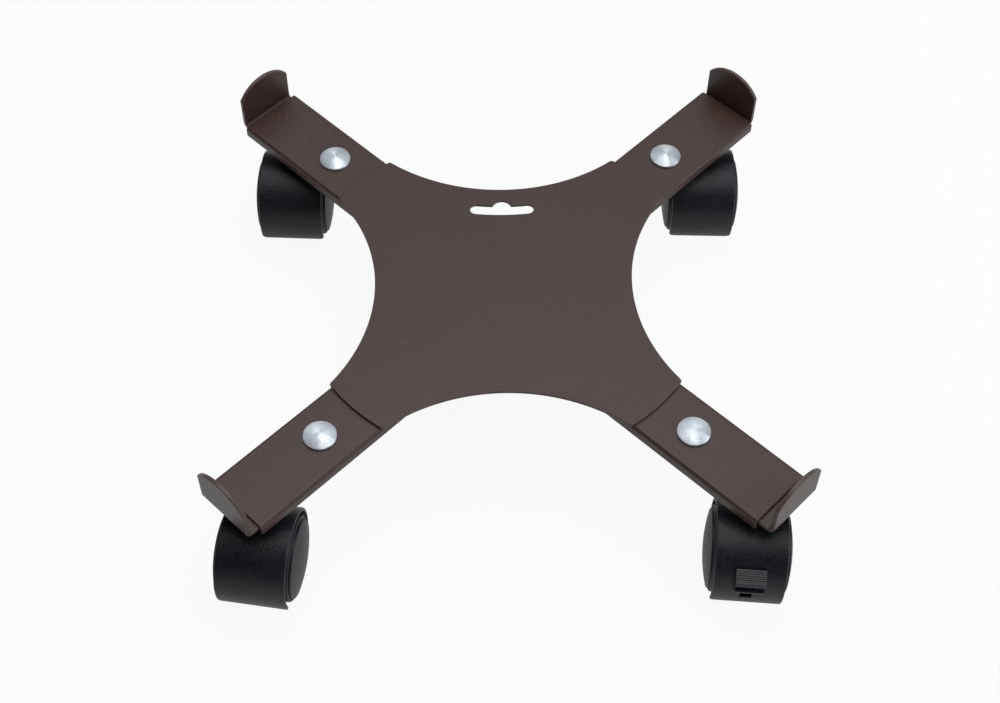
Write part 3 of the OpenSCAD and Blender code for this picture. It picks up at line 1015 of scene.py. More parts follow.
class Workshop:
    """Makes pieces: gives each its finish, its body and the solids that it stands for."""

    def __init__(self) -> None:
        """Builds the finishes and the trees that repeat or turn a shape."""
        groups = SurfaceGroups()
        finishes: dict[Slot, Finish] = {
            Slot.COAT: PowderCoat("brown_powder_coat", (73, 53, 48), roughness=0.40, specular=0.42),
            Slot.ZINC: PlatedSteel(
                "zinc_plate", (228, 234, 240), roughness=0.40, specular=0.5,
                dull_colour=(200, 207, 214), metallic=0.8,
            ),
            Slot.SPRING: PlatedSteel(
                "ring_spring_steel", (120, 120, 122), roughness=0.36, specular=0.5,
                dull_colour=(88, 88, 92), metallic=1.0,
            ),
            Slot.HOOD: MouldedPlastic(
                "grained_hood_plastic", (28, 30, 36), roughness=0.38, specular=0.34,
                pebble_scale=1400.0, pebble_depth=0.00024, painted_sparkle=0.6,
            ),
            Slot.WHEEL: MouldedPlastic(
                "smooth_wheel_plastic", (24, 27, 33), roughness=0.46, specular=0.34,
                pebble_scale=2400.0, pebble_depth=0.00004,
            ),
            Slot.LEVER: MouldedPlastic(
                "satin_lever_plastic", (34, 36, 42), roughness=0.29, specular=0.62,
                pebble_scale=2600.0, pebble_depth=0.00001,
            ),
        }
        head_finish = PlatedSteel(
            "turned_zinc", (230, 235, 240), roughness=0.41, specular=0.5,
            dull_colour=(212, 218, 224), metallic=0.88, turned=0.86,
        )
        self.materials = {slot: finish.material(groups) for slot, finish in finishes.items()}
        self.turned_zinc = head_finish.material(groups)
        self.copies = self._copies_tree()
        self.turning = self._turned_tree()

    @staticmethod
    def _copies_tree() -> NodeTree:
        """Tree that repeats its geometry round the Z axis, or outwards from it.

        Returns:
            The tree.
        """
        wire, given = geometry_tree("copies_in_a_ring_or_row", {
            "Copies": 4, "Pitch Radius": 0.1, "First Angle": 0.0, "Step Angle": 1.0, "Step Along": 0.0,
        })
        index = wire.node("GeometryNodeInputIndex").outputs[0]
        swept = wire.math("MULTIPLY", index, given["Step Angle"])
        angle = wire.math("ADD", swept, given["First Angle"])
        gone = wire.math("MULTIPLY", index, given["Step Along"])
        radius = wire.math("ADD", gone, given["Pitch Radius"])
        across = wire.math("MULTIPLY", wire.math("COSINE", angle), radius)
        along = wire.math("MULTIPLY", wire.math("SINE", angle), radius)
        place = wire.node("ShaderNodeCombineXYZ", {0: across, 1: along})
        facing = wire.node("ShaderNodeCombineXYZ", {2: angle})
        facing_turn = wire.node("FunctionNodeEulerToRotation", {0: facing.outputs[0]})
        points = wire.node(
            "GeometryNodePoints", {"Count": given["Copies"], "Position": place.outputs[0]}
        )
        placed = wire.node("GeometryNodeInstanceOnPoints", {
            "Points": points.outputs[0],
            "Instance": given["Geometry"],
            "Rotation": facing_turn.outputs[0],
        })
        end_tree(wire, placed.outputs[0], given["Material"])
        return wire.tree

    @staticmethod
    def _turned_tree() -> NodeTree:
        """Tree that turns a closed half section about the Z axis.

        Returns:
            The tree.
        """
        wire, given = geometry_tree("turned_section", {"Segments": 96, "Path Radius": 0.01})
        section = wire.node("GeometryNodeMeshToCurve", {0: given["Geometry"]})
        path = wire.node(
            "GeometryNodeCurvePrimitiveCircle",
            {"Resolution": given["Segments"], "Radius": given["Path Radius"]},
        )
        swept = wire.node(
            "GeometryNodeCurveToMesh", {"Curve": path.outputs[0], "Profile Curve": section.outputs[0]}
        )
        welded = wire.node(
            "GeometryNodeMergeByDistance", {"Geometry": swept.outputs[0], "Distance": NEAR_ZERO}
        )
        faces = wire.node("GeometryNodeInputMeshEdgeNeighbors").outputs[0]
        loose = wire.math("LESS_THAN", faces, 0.5)
        closed = wire.node(
            "GeometryNodeDeleteGeometry", {"Geometry": welded.outputs[0], "Selection": loose}, domain="EDGE"
        )
        end_tree(wire, closed.outputs[0], given["Material"])
        return wire.tree

    @staticmethod
    def _run(obj: Object, tree: NodeTree, values: dict[str, object]) -> None:
        """Runs a tree on an object and keeps what it makes as a plain mesh.

        Args:
            obj: Object whose mesh goes in.
            tree: The tree.
            values: Values of its named inputs.
        """
        modifier = obj.modifiers.new("tree", "NODES")
        modifier.node_group = tree
        for item in tree.interface.items_tree:
            if item.in_out == "INPUT" and item.name in values:
                modifier[item.identifier] = values[item.name]
        bake_modifiers(obj)

    def repeat(
        self, obj: Object, slot: Slot, copies: int, pitch: float, first: float,
        step: float = 0.0, along: float = 0.0,
    ) -> None:
        """Repeats an object's mesh round the Z axis or outwards from it.

        Args:
            obj: Object with one copy at the origin, facing out along +X.
            slot: Finish of the copies.
            copies: Number of copies.
            pitch: Radius that the first stands on, in millimetres.
            first: Angle of the first copy in degrees.
            step: Angle between two copies in degrees.
            along: Distance outwards between two copies in millimetres.
        """
        self._run(obj, self.copies, {
            "Copies": copies,
            "Pitch Radius": pitch * MM,
            "First Angle": math.radians(first),
            "Step Angle": math.radians(step),
            "Step Along": along * MM,
            "Material": self.materials[slot],
        })

    def turned(self, name: str, profile: Loop, segments: int, slot: Slot) -> Object:
        """A solid turned about the Z axis.

        Args:
            name: Name of the object.
            profile: Closed loop of (radius, height) points, counter-clockwise.
            segments: Facets round the axis.
            slot: Its finish.

        Returns:
            The object.
        """
        path_r = max(radius for radius, _ in profile) / 2
        bm = bmesh.new()
        verts = [bm.verts.new((radius - path_r, -height, 0)) for radius, height in profile]
        for start, stop in zip(verts, verts[1:] + verts[:1]):
            bm.edges.new((start, stop))
        obj = new_object(name, bm)
        self._run(obj, self.turning, {
            "Segments": segments, "Path Radius": path_r * MM, "Material": self.materials[slot],
        })
        face_outwards(obj)
        return obj

    def dress(self, obj: Object, slot: Slot) -> None:
        """Gives an object the material of a slot."""
        obj.data.materials.clear()
        obj.data.materials.append(self.materials[slot])

    def finish(
        self, obj: Object, slot: Slot, body: str, nodes: Sequence[str], sharp: float = SHEET_SHARP
    ) -> None:
        """Shades and dresses a piece and sets it on its body.

        Args:
            obj: The piece.
            slot: Material slot that it takes its finish from.
            body: Body that it moves with.
            nodes: Solids that it stands for.
            sharp: Angle past which its edges stay sharp.
        """
        smooth(obj, sharp)
        self.dress(obj, slot)
        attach(obj, body)
        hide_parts(*nodes)
        log.info("%s: %d faces on %s", obj.name, len(obj.data.polygons), body)

    def dress_node(self, name: str, slot: Slot) -> None:
        """Gives a solid that stays its better material."""
        self.dress(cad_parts[name], slot)
        log.info("%s: solid kept, dressed as %s", name, slot.value)


@dataclass
class CentrePlate:
    """Scalloped plate with its hanging slot."""

    shop: Workshop  # Where its piece is finished.
    end_r: float = 100.0  # Radius of the four ends.
    waist: float = 125.0  # Width across two opposite scallops.
    scallop_r: float = 92.5  # Radius of a scallop.
    corner_r: float = 1.5  # Radius on the corners.
    thickness: float = PLATE_T  # Thickness of the sheet.
    edge_r: float = 0.4  # Radius of the coated edges.
    slot_l: float = 32.0  # Length of the hanging slot.
    slot_h: float = 6.0  # Width of the hanging slot.
    slot_y: float = 48.6  # Distance from the middle to the slot.
    hook_d: float = 9.8  # Diameter of the hook notch.
    hook_rise: float = 6.4  # Height of the notch above the slot's centre line.

    def outline(self) -> Loop:
        """The plate's outer loop: scallop, corner, end and corner, four times.

        Returns:
            The loop, counter-clockwise.
        """
        far = self.waist / 2 + self.scallop_r
        in_r = self.end_r - self.corner_r
        out_r = self.scallop_r + self.corner_r
        x = (in_r**2 - out_r**2 + far**2) / (2 * far)
        y = math.sqrt(in_r**2 - x**2)
        end_at = math.degrees(math.atan2(y, x))
        hollow = math.degrees(math.atan2(y, far - x))
        quarter = arc((far, 0), self.scallop_r, 180 + hollow, 180 - hollow, 1.5)
        quarter += arc((x, y), self.corner_r, -hollow, end_at, 12)
        quarter += arc((0, 0), self.end_r, end_at, 90 - end_at, 1.5)
        quarter += arc((y, x), self.corner_r, 90 - end_at, 90 + hollow, 12)
        loop: Loop = []
        for k in range(4):
            spin = turn("Z", 90 * k)
            loop += [tuple((spin @ Vector((*p, 0)))[:2]) for p in quarter]
        return without_doubles(loop)

    def slot(self) -> Loop:
        """The hanging slot, which runs alongside the back scallop.

        Returns:
            The loop, clockwise.
        """
        far = self.waist / 2 + self.scallop_r
        bow = far - self.slot_y
        half = self.slot_h / 2
        reach = math.degrees(math.asin((self.slot_l - self.slot_h) / 2 / bow))
        rise = self.hook_rise - self.hook_d / 2
        notch = (0.0, self.slot_y + rise)
        inner = bow - half
        away = far - notch[1]
        meet = math.degrees(math.acos((inner**2 + away**2 - (self.hook_d / 2) ** 2) / (2 * inner * away)))
        meet_x, meet_y = inner * math.sin(math.radians(meet)), far - inner * math.cos(math.radians(meet))
        lift = math.degrees(math.atan2(meet_y - notch[1], meet_x))
        centre = (0.0, far)
        left, right = (polar(bow, -90 - reach), polar(bow, -90 + reach))
        loop = arc(centre, bow + half, -90 + reach, -90 - reach, 1)
        loop += arc((left[0], far + left[1]), half, 270 - reach, 90 - reach, 12)
        loop += arc(centre, inner, -90 - reach, -90 - meet, 1)
        loop += arc(notch, self.hook_d / 2, 180 - lift, lift, 8)
        loop += arc(centre, inner, -90 + meet, -90 + reach, 1)
        loop += arc((right[0], far + right[1]), half, 90 + reach, -90 + reach, 12)
        return without_doubles(loop)

    def build(self) -> None:
        """Makes the plate and dresses it."""
        bm = bmesh.new()
        blank = Blank(self.outline(), self.thickness, self.edge_r, self.edge_r, [self.slot()])
        blank.add_to(bm, lambda u, v, w: Vector((u, v, w - self.thickness)))
        self.shop.finish(new_object("plate_sheet", bm), Slot.COAT, "frame", ["centre_plate"])


@dataclass
class ChannelArm:
    """Shallow channel under the plate, folded from a flat strip."""

    shop: Workshop  # Where its piece is finished.
    width: float = 34.4  # Outer width.
    height: float = 6.0  # Outer height.
    thickness: float = ARM_T  # Thickness of the sheet.
    bend_r: float = 1.9  # Outer radius of the two bends.
    root: float = 30.0  # Distance from the middle to the inner end.
    end: float = 170.7  # Distance from the middle to the outer end.
    top: float = -PLATE_T  # Height of the upper face.
    bolt_at: float = BOLT_AT  # Distance from the middle to the bolt.
    neck_hole: float = 6.2  # Width of the square hole for the bolt.
    corner_r: float = 0.6  # Radius on the strip's corners.
    edge_r: float = 0.35  # Radius of the coated edges.
    bend_steps: int = 6  # Facets round a bend.

    def build(self, corner: Corner) -> None:
        """Makes the arm of one corner and dresses it.

        Args:
            corner: Corner of the caddy.
        """
        flat = self.width / 2 - self.bend_r
        inner_r = self.bend_r - self.thickness
        bend_l = math.radians(90) * (inner_r + self.thickness / 2)
        half = flat + bend_l + self.height - self.bend_r
        place = corner.arm_frame()

        def fold(u: float, v: float, w: float) -> Vector:
            """Folds the strip's two sides down.

            Args:
                u: Distance along the strip.
                v: Distance across it.
                w: Height in it.

            Returns:
                The folded point.
            """
            side = math.copysign(1.0, v)
            past = abs(v) - flat
            radius = inner_r + w
            if past <= 0:
                return place @ Vector((u, v, self.top - self.thickness + w))
            angle = min(past / bend_l, 1.0) * math.pi / 2
            drop = max(past - bend_l, 0.0)
            y = side * (flat + radius * math.sin(angle))
            return place @ Vector((u, y, self.top - self.bend_r + radius * math.cos(angle) - drop))

        lines = [flat + bend_l * i / self.bend_steps for i in range(self.bend_steps + 1)]
        hole = self.neck_hole / 2
        square = [
            (self.bolt_at - hole, -hole),
            (self.bolt_at - hole, hole),
            (self.bolt_at + hole, hole),
            (self.bolt_at + hole, -hole),
        ]
        blank = Blank(
            rounded_box(self.root, self.end, -half, half, self.corner_r, step=30),
            self.thickness,
            self.edge_r,
            self.edge_r,
            [square],
            v_lines=[-x for x in reversed(lines)] + lines,
        )
        bm = bmesh.new()
        blank.add_to(bm, fold)
        obj = new_object(f"channel_arm_{corner.label}", bm)
        self.shop.finish(obj, Slot.COAT, "frame", [f"arm_{corner.label}"])


@dataclass
class SlideBar:
    """Bar with an upturned tab, folded from a flat strip."""

    shop: Workshop  # Where its piece is finished.
    width: float = 30.6  # Width of the strip.
    thickness: float = BAR_T  # Thickness of the strip.
    top: float = BAR_TOP  # Height of its upper face.
    root: float = 56.75  # Distance from the middle to its inner end, pushed home.
    tab_in: float = 171.7  # Distance from the middle to the tab's inner face, pushed home.
    bend_r: float = 1.5  # Inside radius of the bend.
    side_h: float = 13.5  # Height of the tab's straight sides above the plate.
    tab_h: float = 21.5  # Height of the tab's round top above the plate.
    slot_in: float = 68.0  # Inner end of the bolt's slot, at its centre.
    slot_out: float = 123.0  # Outer end of the bolt's slot, at its centre.
    slot_w: float = 6.5  # Width of the bolt's slot.
    stem_at: float = STEM_AT  # Distance from the middle to the stem.
    rivet_r: float = 5.05  # Radius of the hole for the stem's head.
    edge_r: float = 0.45  # Radius of the coated edges.
    bend_steps: int = 8  # Facets round the bend.

    def _outline(self, bend_at: float, bend_l: float) -> Loop:
        """The flat strip with the round top of its tab.

        Args:
            bend_at: Where the bend starts.
            bend_l: Its length in the flat.

        Returns:
            The loop.
        """
        half = self.width / 2
        straight = bend_at + bend_l + self.side_h - self.top - self.bend_r
        rise = self.tab_h - self.side_h
        round_r = (half**2 + rise**2) / (2 * rise)
        reach = math.degrees(math.asin(half / round_r))
        loop = [(self.root, -half), (straight, -half)]
        loop += arc((straight + rise - round_r, 0), round_r, -reach, reach, 3)
        loop += [(self.root, half)]
        return without_doubles(loop)

    def _slot(self) -> Loop:
        """The long hole that slides past the bolt."""
        r = self.slot_w / 2
        return arc((self.slot_in, 0), r, 270, 90, 10) + arc((self.slot_out, 0), r, 90, -90, 10)

    def build(self, corner: Corner) -> None:
        """Makes the bar of one corner and dresses it.

        Args:
            corner: Corner of the caddy.
        """
        bend_at = self.tab_in - self.bend_r
        bend_l = math.radians(90) * (self.bend_r + self.thickness / 2)
        place = corner.bar_frame()

        def fold(u: float, v: float, w: float) -> Vector:
            """Folds the strip's outer end up.

            Args:
                u: Distance along the strip.
                v: Distance across it.
                w: Height in it.

            Returns:
                The folded point.
            """
            past = u - bend_at
            if past <= 0:
                return place @ Vector((u, v, self.top - self.thickness + w))
            radius = self.bend_r + self.thickness - w
            angle = min(past / bend_l, 1.0) * math.pi / 2
            climb = max(past - bend_l, 0.0)
            x = bend_at + radius * math.sin(angle)
            return place @ Vector((x, v, self.top + self.bend_r - radius * math.cos(angle) + climb))

        blank = Blank(
            self._outline(bend_at, bend_l),
            self.thickness,
            self.edge_r,
            self.edge_r,
            [self._slot(), round_hole((self.stem_at, 0), self.rivet_r)],
            u_lines=[bend_at + bend_l * i / self.bend_steps for i in range(self.bend_steps + 1)],
        )
        bm = bmesh.new()
        blank.add_to(bm, fold)
        obj = new_object(f"tab_bar_{corner.label}", bm)
        self.shop.finish(obj, Slot.COAT, f"slide_{corner.label}", [f"slide_bar_{corner.label}"])


@dataclass
class Fasteners:
    """Coach bolts, washers and nuts, one set per arm."""

    shop: Workshop  # Where the pieces are finished.
    pitch: float = BOLT_AT  # Distance from the middle to a bolt.
    seat: float = -PLATE_T  # Height of the face under a bolt's head.
    head_d: float = 15.6  # Diameter of the cup head.
    head_h: float = 3.3  # Height of the cup head.
    rim_h: float = 1.2  # Height of the head's straight rim.
    rim_in: float = 0.05  # Width of the bevel on the rim's upper edge.
    rim_down: float = 0.2  # Height of that bevel.
    rim_soft: float = 0.25  # Bevel on the rim's lower edge.
    dome_step: float = 1.5  # Angle between two points of the dome.
    segments: int = 64  # Facets round a head.
    shank_d: float = 6.0  # Thread diameter, also the width of the square neck.
    shank_segments: int = 40  # Facets round a shank.
    neck_h: float = 3.4  # Height of the square neck.
    neck_edge: float = 0.3  # Rounding of the neck's edges.
    bite: float = 0.1  # How far neck and shank reach into the head.
    length: float = 11.85  # Length under the head.
    thread_at: float = 3.25  # Distance from the head to the first crest of the thread.
    thread_pitch: float = 1.0  # Pitch of the thread.
    thread_depth: float = 0.3  # Depth of the thread.
    plain_end: float = 0.4  # Length at the end that has no further crest.
    tip_bevel: float = 0.6  # Width of the bevel at the end.
    washer_d: float = 18.0  # Diameter of a washer.
    washer_hole: float = 6.4  # Diameter of a washer's hole.
    washer_top: float = BAR_UNDER - BAR_GAP  # Height of a washer's upper face.
    washer_t: float = 1.6  # Thickness of a washer.
    washer_top_r: float = 0.3  # Radius on a washer's upper rim.
    washer_low_r: float = 0.15  # Radius on a washer's lower rim.
    nut_af: float = 10.0  # Width of a nut across its flats.
    nut_h: float = 5.0  # Height of a nut.
    nut_crown: float = 0.95  # Radius of a nut's flat face, as a share of half its width.
    nut_slope: float = 30.0  # Slope of the bevel on a nut's corners.
    nut_gap: float = 0.05  # Clearance in a nut's bore.
    nut_lead: float = 0.35  # Bevel at the ends of a nut's bore.
    nut_segments: int = 72  # Facets round a nut.

    def _place_all(self, obj: Object, node: str) -> None:
        """Repeats one fastener on the four arms and dresses the set.

        Args:
            obj: The fastener, on the Z axis.
            node: Solid that the set stands for.
        """
        first = Corner.BACK_RIGHT.arm_angle
        self.shop.repeat(obj, Slot.ZINC, len(Corner), self.pitch, first, step=360 / len(Corner))
        self.shop.finish(obj, Slot.ZINC, "frame", [node])

    def _head_profile(self) -> Loop:
        """Cup head from the middle of its dome to the middle of its underside.

        Returns:
            Loop of (radius, height) points.
        """
        r = self.head_d / 2
        cap = self.head_h - self.rim_h
        dome_r = (r**2 + cap**2) / (2 * cap)
        reach = math.degrees(math.asin(r / dome_r)) - self.dome_step
        dome = arc((0, self.head_h - dome_r), dome_r, 90, 90 - reach, self.dome_step)
        dome[0] = (0.0, self.head_h)
        rim = [(r - self.rim_in, self.rim_h), (r, self.rim_h - self.rim_down)]
        foot = [(r, self.rim_soft), (r - self.rim_soft, 0.0), (0.0, 0.0)]
        return [(x, self.seat + z) for x, z in dome + rim + foot]

    def _thread_profile(self) -> Loop:
        """Threaded shank from inside the head to its bevelled end.

        Returns:
            Loop of (radius, height) points.
        """
        r = self.shank_d / 2
        top = self.seat + self.bite
        low = self.seat - self.length
        z = self.seat - self.thread_at
        loop = [(0.0, top), (r, top)]
        while z - self.thread_pitch > low + self.plain_end:
            loop.append((r, z))
            loop.append((r - self.thread_depth, z - self.thread_pitch / 2))
            z -= self.thread_pitch
        loop += [(r, z), (r - self.tip_bevel, low), (0.0, low)]
        return without_doubles(loop)

    @staticmethod
    def _map_turned(mesh: Mesh) -> None:
        """Gives a turned shape a map with its profile along U and its angle along V.

        Args:
            mesh: Mesh of the shape, in metres and turned about the Z axis.
        """
        layer = mesh.uv_layers.new(name=TURNED_MAP)
        for face in mesh.polygons:
            middle = math.atan2(face.center.y, face.center.x)
            for index in face.loop_indices:
                place = mesh.vertices[mesh.loops[index].vertex_index].co
                radius = place.xy.length
                angle = math.atan2(place.y, place.x) if radius > NEAR_ZERO else middle
                away = math.remainder(angle - middle, math.tau)
                layer.data[index].uv = ((radius - place.z) / TURNED_LENGTH, (middle + away) / math.tau)

    def _bolts(self) -> None:
        """Coach bolts with their square necks."""
        bm = bmesh.new()
        add_lathe(bm, self._head_profile(), self.segments, Matrix.Identity(4))
        head = new_object("coach_bolt_set", bm)
        bm = bmesh.new()
        add_lathe(bm, self._thread_profile(), self.shank_segments, Matrix.Identity(4))
        shank = new_object("shank", bm)
        bm = bmesh.new()
        tall = self.neck_h + self.bite
        middle = shift(0, 0, self.seat + self.bite - tall / 2)
        add_box(bm, (self.shank_d, self.shank_d, tall), middle, self.neck_edge)
        combine(head, joins=[new_object("neck", bm), shank])
        self._map_turned(head.data)
        self._place_all(head, "coach_bolts")
        head.data.materials[0] = self.shop.turned_zinc

    def _washers(self) -> None:
        """Plain washers with rounded rims."""
        bm = bmesh.new()
        outline = without_doubles(arc((0, 0), self.washer_d / 2, 0, 360, 6))
        hole = round_hole((0, 0), self.washer_hole / 2)
        blank = Blank(outline, self.washer_t, self.washer_top_r, self.washer_low_r, [hole])
        low = self.washer_top - self.washer_t
        blank.add_to(bm, lambda u, v, w: Vector((u, v, low + w)))
        self._place_all(new_object("washer_set", bm), "lock_washers")

    def _nuts(self) -> None:
        """Hexagon nuts with bevelled corners."""
        bm = bmesh.new()
        top = self.washer_top - self.washer_t
        low = top - self.nut_h
        flat = self.nut_af / 2
        crown = self.nut_crown * flat
        bore = self.shank_d / 2 + self.nut_gap
        lead = self.nut_lead
        slope = math.tan(math.radians(self.nut_slope))
        sections: list[list[BMVert]] = []
        for i in range(self.nut_segments):
            angle = 360 * i / self.nut_segments
            hexagon = flat / math.cos(math.radians((angle + 30) % 60 - 30))
            drop = (hexagon - crown) * slope
            profile = [
                (bore + lead, top), (crown, top), (hexagon, top - drop), (hexagon, low + drop),
                (crown, low), (bore + lead, low), (bore, low + lead), (bore, top - lead),
            ]
            sections.append([bm.verts.new((*polar(radius, angle), z)) for radius, z in profile])
        faces = []
        for here, ahead in zip(sections, sections[1:] + sections[:1]):
            for k in range(len(here)):
                faces.append(bm.faces.new((here[k - 1], ahead[k - 1], ahead[k], here[k])))
        bmesh.ops.recalc_face_normals(bm, faces=faces)
        self._place_all(new_object("nut_set", bm), "lock_nuts")

    def build(self) -> None:
        """Makes the three sets of fasteners."""
        self._bolts()
        self._washers()
        self._nuts()


@dataclass
class Caster:
    """Hooded twin-wheel caster: hood, wheels and, on one corner, the brake lever."""

    shop: Workshop  # Where its pieces are finished.
    stem_at: float = STEM_AT  # Distance from the middle to the stem with the bar pushed home.
    trail: float = 15.3  # Distance between the stem's axis and the axle, seen from above.
    axle_z: float = GROUND + WHEEL_R  # Height of the axle.
    hood_in: float = 22.0  # Inner radius of the hood.
    hood_wall: float = 1.5  # Wall thickness of the hood.
    hood_w: float = 32.6  # Width of the hood.
    hood_low: float = -29.0  # Angle of the hood's lower edge at the back of the caster.
    hood_high: float = 209.0  # Angle of the hood's edge at the front of the caster.
    hood_corner_r: float = 2.8  # Radius on the hood's corners.
    hood_edge_r: float = 0.8  # Radius on the hood's outer edges.
    hood_inner_r: float = 0.25  # Radius on the hood's inner edges.
    hole_corner_r: float = 0.4  # Radius on the corners of a hole in the hood.
    web_w: float = 12.0  # Width of the middle web.
    web_drop: float = 7.5  # How far the web reaches below the axle.
    web_edge_r: float = 0.4  # Radius on the web's edges.
    thrust_r: float = 5.5  # Radius of the faces that the wheels run against.
    thrust_face: float = 7.1  # Distance from the middle to such a face.
    socket_d: float = 13.0  # Outer diameter of the stem's socket.
    socket_top: float = -7.45  # Height of the socket's top.
    socket_low: float = -29.15  # Height of the socket's bottom.
    socket_floor: float = 2.5  # Thickness of the socket's bottom.
    stem_bore_r: float = 4.05  # Radius of the bore for the stem.
    ring_room_r: float = 4.8  # Radius of the groove for the spring ring.
    ring_low: float = 5.5  # Distance from the socket's bottom to that groove.
    ring_room_h: float = 1.8  # Height of that groove.
    axle_bore_r: float = 3.02  # Radius of the bore for the axle.
    post_soft: float = 0.3  # Bevel on the ends of a round post.
    post_segments: int = 48  # Facets round such a post.
    wheel_r: float = WHEEL_R  # Radius of the tread.
    wheel_in: float = 7.4  # Distance from the middle to a wheel's inner face.
    wheel_rim: float = 16.9  # Distance from the middle to a wheel's rim.
    rim_edge_r: float = 1.2  # Radius on the tread's edges.
    disc_r: float = 18.4  # Radius of the raised disc.
    disc_rise: float = 1.1  # How far the edge of the disc stands out of the rim.
    disc_crown: float = 2.2  # How far the disc's crown stands out of its edge.
    disc_edge_r: float = 0.8  # Radius on the disc's edge.
    groove: float = 0.6  # Width and depth of the groove round the disc.
    hub_wheel_r: float = 6.2  # Radius of the wheel's own hub.
    bore_r: float = 3.05  # Radius of the wheel's bore.
    bore_end: float = 16.3  # Distance from the middle to the end of the bore.
    wall: float = 2.8  # Wall thickness of a wheel.
    rib_count: int = 6  # Number of ribs in a wheel.
    rib_t: float = 1.6  # Thickness of a rib.
    rib_bite: float = 0.4  # How far a rib reaches into the walls.
    rib_edge: float = 0.2  # Rounding of a rib's edges.
    segments: int = 96  # Facets round a wheel.

    def axle_frame(self, corner: Corner) -> Matrix:
        """Frame on the axle: +X trails, +Y is up and +Z runs along the axle."""
        place = corner.caster_frame(self.stem_at) @ shift(0, -self.trail, self.axle_z)
        return place @ turn("Z", -90) @ turn("X", 90)

    def wrap(self, corner: Corner, inner: float, outer: float) -> Bend:
        """Bend that wraps a flat sheet round the axle.

        Args:
            corner: Corner of the caster.
            inner: Radius of the sheet's lower face.
            outer: Radius at which lengths in the flat are true.

        Returns:
            The bend, with u along the arc and v along the axle.
        """
        place = self.axle_frame(corner)

        def bend(u: float, v: float, w: float) -> Vector:
            """Wraps one point."""
            x, y = polar(inner + w, math.degrees(u / outer))
            return place @ Vector((x, y, v))

        return bend

    def band(
        self, corner: Corner, name: str, inner: float, thickness: float, low: float, high: float,
        width: float, corner_r: float, top_r: float, bottom_r: float,
        holes: Sequence[tuple[float, float, float, float]] = (),
    ) -> Object:
        """A sheet wrapped round the axle.

        Args:
            corner: Corner of the caster.
            name: Name of the object.
            inner: Inner radius.
            thickness: Thickness of the sheet.
            low: First angle in degrees.
            high: Last angle in degrees.
            width: Width along the axle.
            corner_r: Radius on its corners.
            top_r: Radius on its outer edges.
            bottom_r: Radius on its inner edges.
            holes: Slots in it, each as first angle, last angle, width and place of its middle.

        Returns:
            The object.
        """
        outer = inner + thickness
        scale = math.radians(1) * outer
        slots = []
        for first, last, wide, at in holes:
            ends_at = (first * scale, last * scale, at - wide / 2, at + wide / 2)
            slots.append(rounded_box(*ends_at, self.hole_corner_r, step=30)[::-1])
        facet = 4.0
        count = max(2, math.ceil((high - low) / facet))
        clear = 0.9
        ends = [x for first, last, *_ in holes for x in (first * scale - clear, last * scale + clear)]
        lines = [(low + (high - low) * i / count) * scale for i in range(1, count)]
        lines = [x for x in lines if all(abs(x - end) > clear for end in ends)] + ends
        blank = Blank(
            rounded_box(low * scale, high * scale, -width / 2, width / 2, corner_r),
            thickness, top_r, bottom_r, slots, u_lines=lines, edge_steps=4,
        )
        bm = bmesh.new()
        blank.add_to(bm, self.wrap(corner, inner, outer))
        return new_object(name, bm)

    def _web(self, corner: Corner) -> Object:
        """Middle web of the hood.

        Args:
            corner: Corner of the caddy.

        Returns:
            The web.
        """
        r = self.hood_in + self.hood_wall / 2
        place = self.axle_frame(corner)
        low = math.degrees(math.asin(self.web_drop / r))
        blank = Blank(arc((0, 0), r, -low, 180 + low), self.web_w, self.web_edge_r, self.web_edge_r)
        bm = bmesh.new()
        blank.add_to(bm, lambda u, v, w: place @ Vector((u, v, w - self.web_w / 2)))
        return new_object("web", bm)

    def post(self, name: str, r: float, low: float, high: float, place: Matrix) -> Object:
        """A round post with bevelled ends.

        Args:
            name: Name of the object.
            r: Radius of the post.
            low: Its low end along the frame's Z axis.
            high: Its high end.
            place: Its frame.

        Returns:
            The object.
        """
        soft = self.post_soft
        foot = [(0.0, low), (r - soft, low), (r, low + soft)]
        head = [(r, high - soft), (r - soft, high), (0.0, high)]
        bm = bmesh.new()
        add_lathe(bm, foot + head, self.post_segments, place)
        return new_object(name, bm)

    def _hood(self, corner: Corner, brake: BrakeLever | None) -> None:
        """Hood with its web, hub and stem socket.

        Args:
            corner: Corner of the caddy.
            brake: Brake lever, if this caster has one.
        """
        slots = [brake.slot()] if brake else []
        obj = self.band(
            corner, f"hood_shell_{corner.label}", self.hood_in, self.hood_wall, self.hood_low, self.hood_high,
            self.hood_w, self.hood_corner_r, self.hood_edge_r, self.hood_inner_r, slots,
        )
        stem = corner.caster_frame(self.stem_at)
        axle = self.axle_frame(corner)
        joins = [
            self._web(corner),
            self.post("thrust", self.thrust_r, -self.thrust_face, self.thrust_face, axle),
            self.post("socket", self.socket_d / 2, self.socket_low, self.socket_top, stem),
        ]
        past_top = self.socket_top + 2
        ring_low = self.socket_low + self.ring_low
        cuts = [
            self.post("stem_bore", self.stem_bore_r, self.socket_low + self.socket_floor, past_top, stem),
            self.post("ring_room", self.ring_room_r, ring_low, ring_low + self.ring_room_h, stem),
            self.post("axle_bore", self.axle_bore_r, -self.hood_w, self.hood_w, axle),
        ]
        if brake:
            cuts += brake.room(self, corner)
        combine(obj, joins, cuts)
        node = f"caster_hood_{corner.label}"
        self.shop.finish(obj, Slot.HOOD, f"caster_{corner.label}", [node], MOULDED_SHARP)

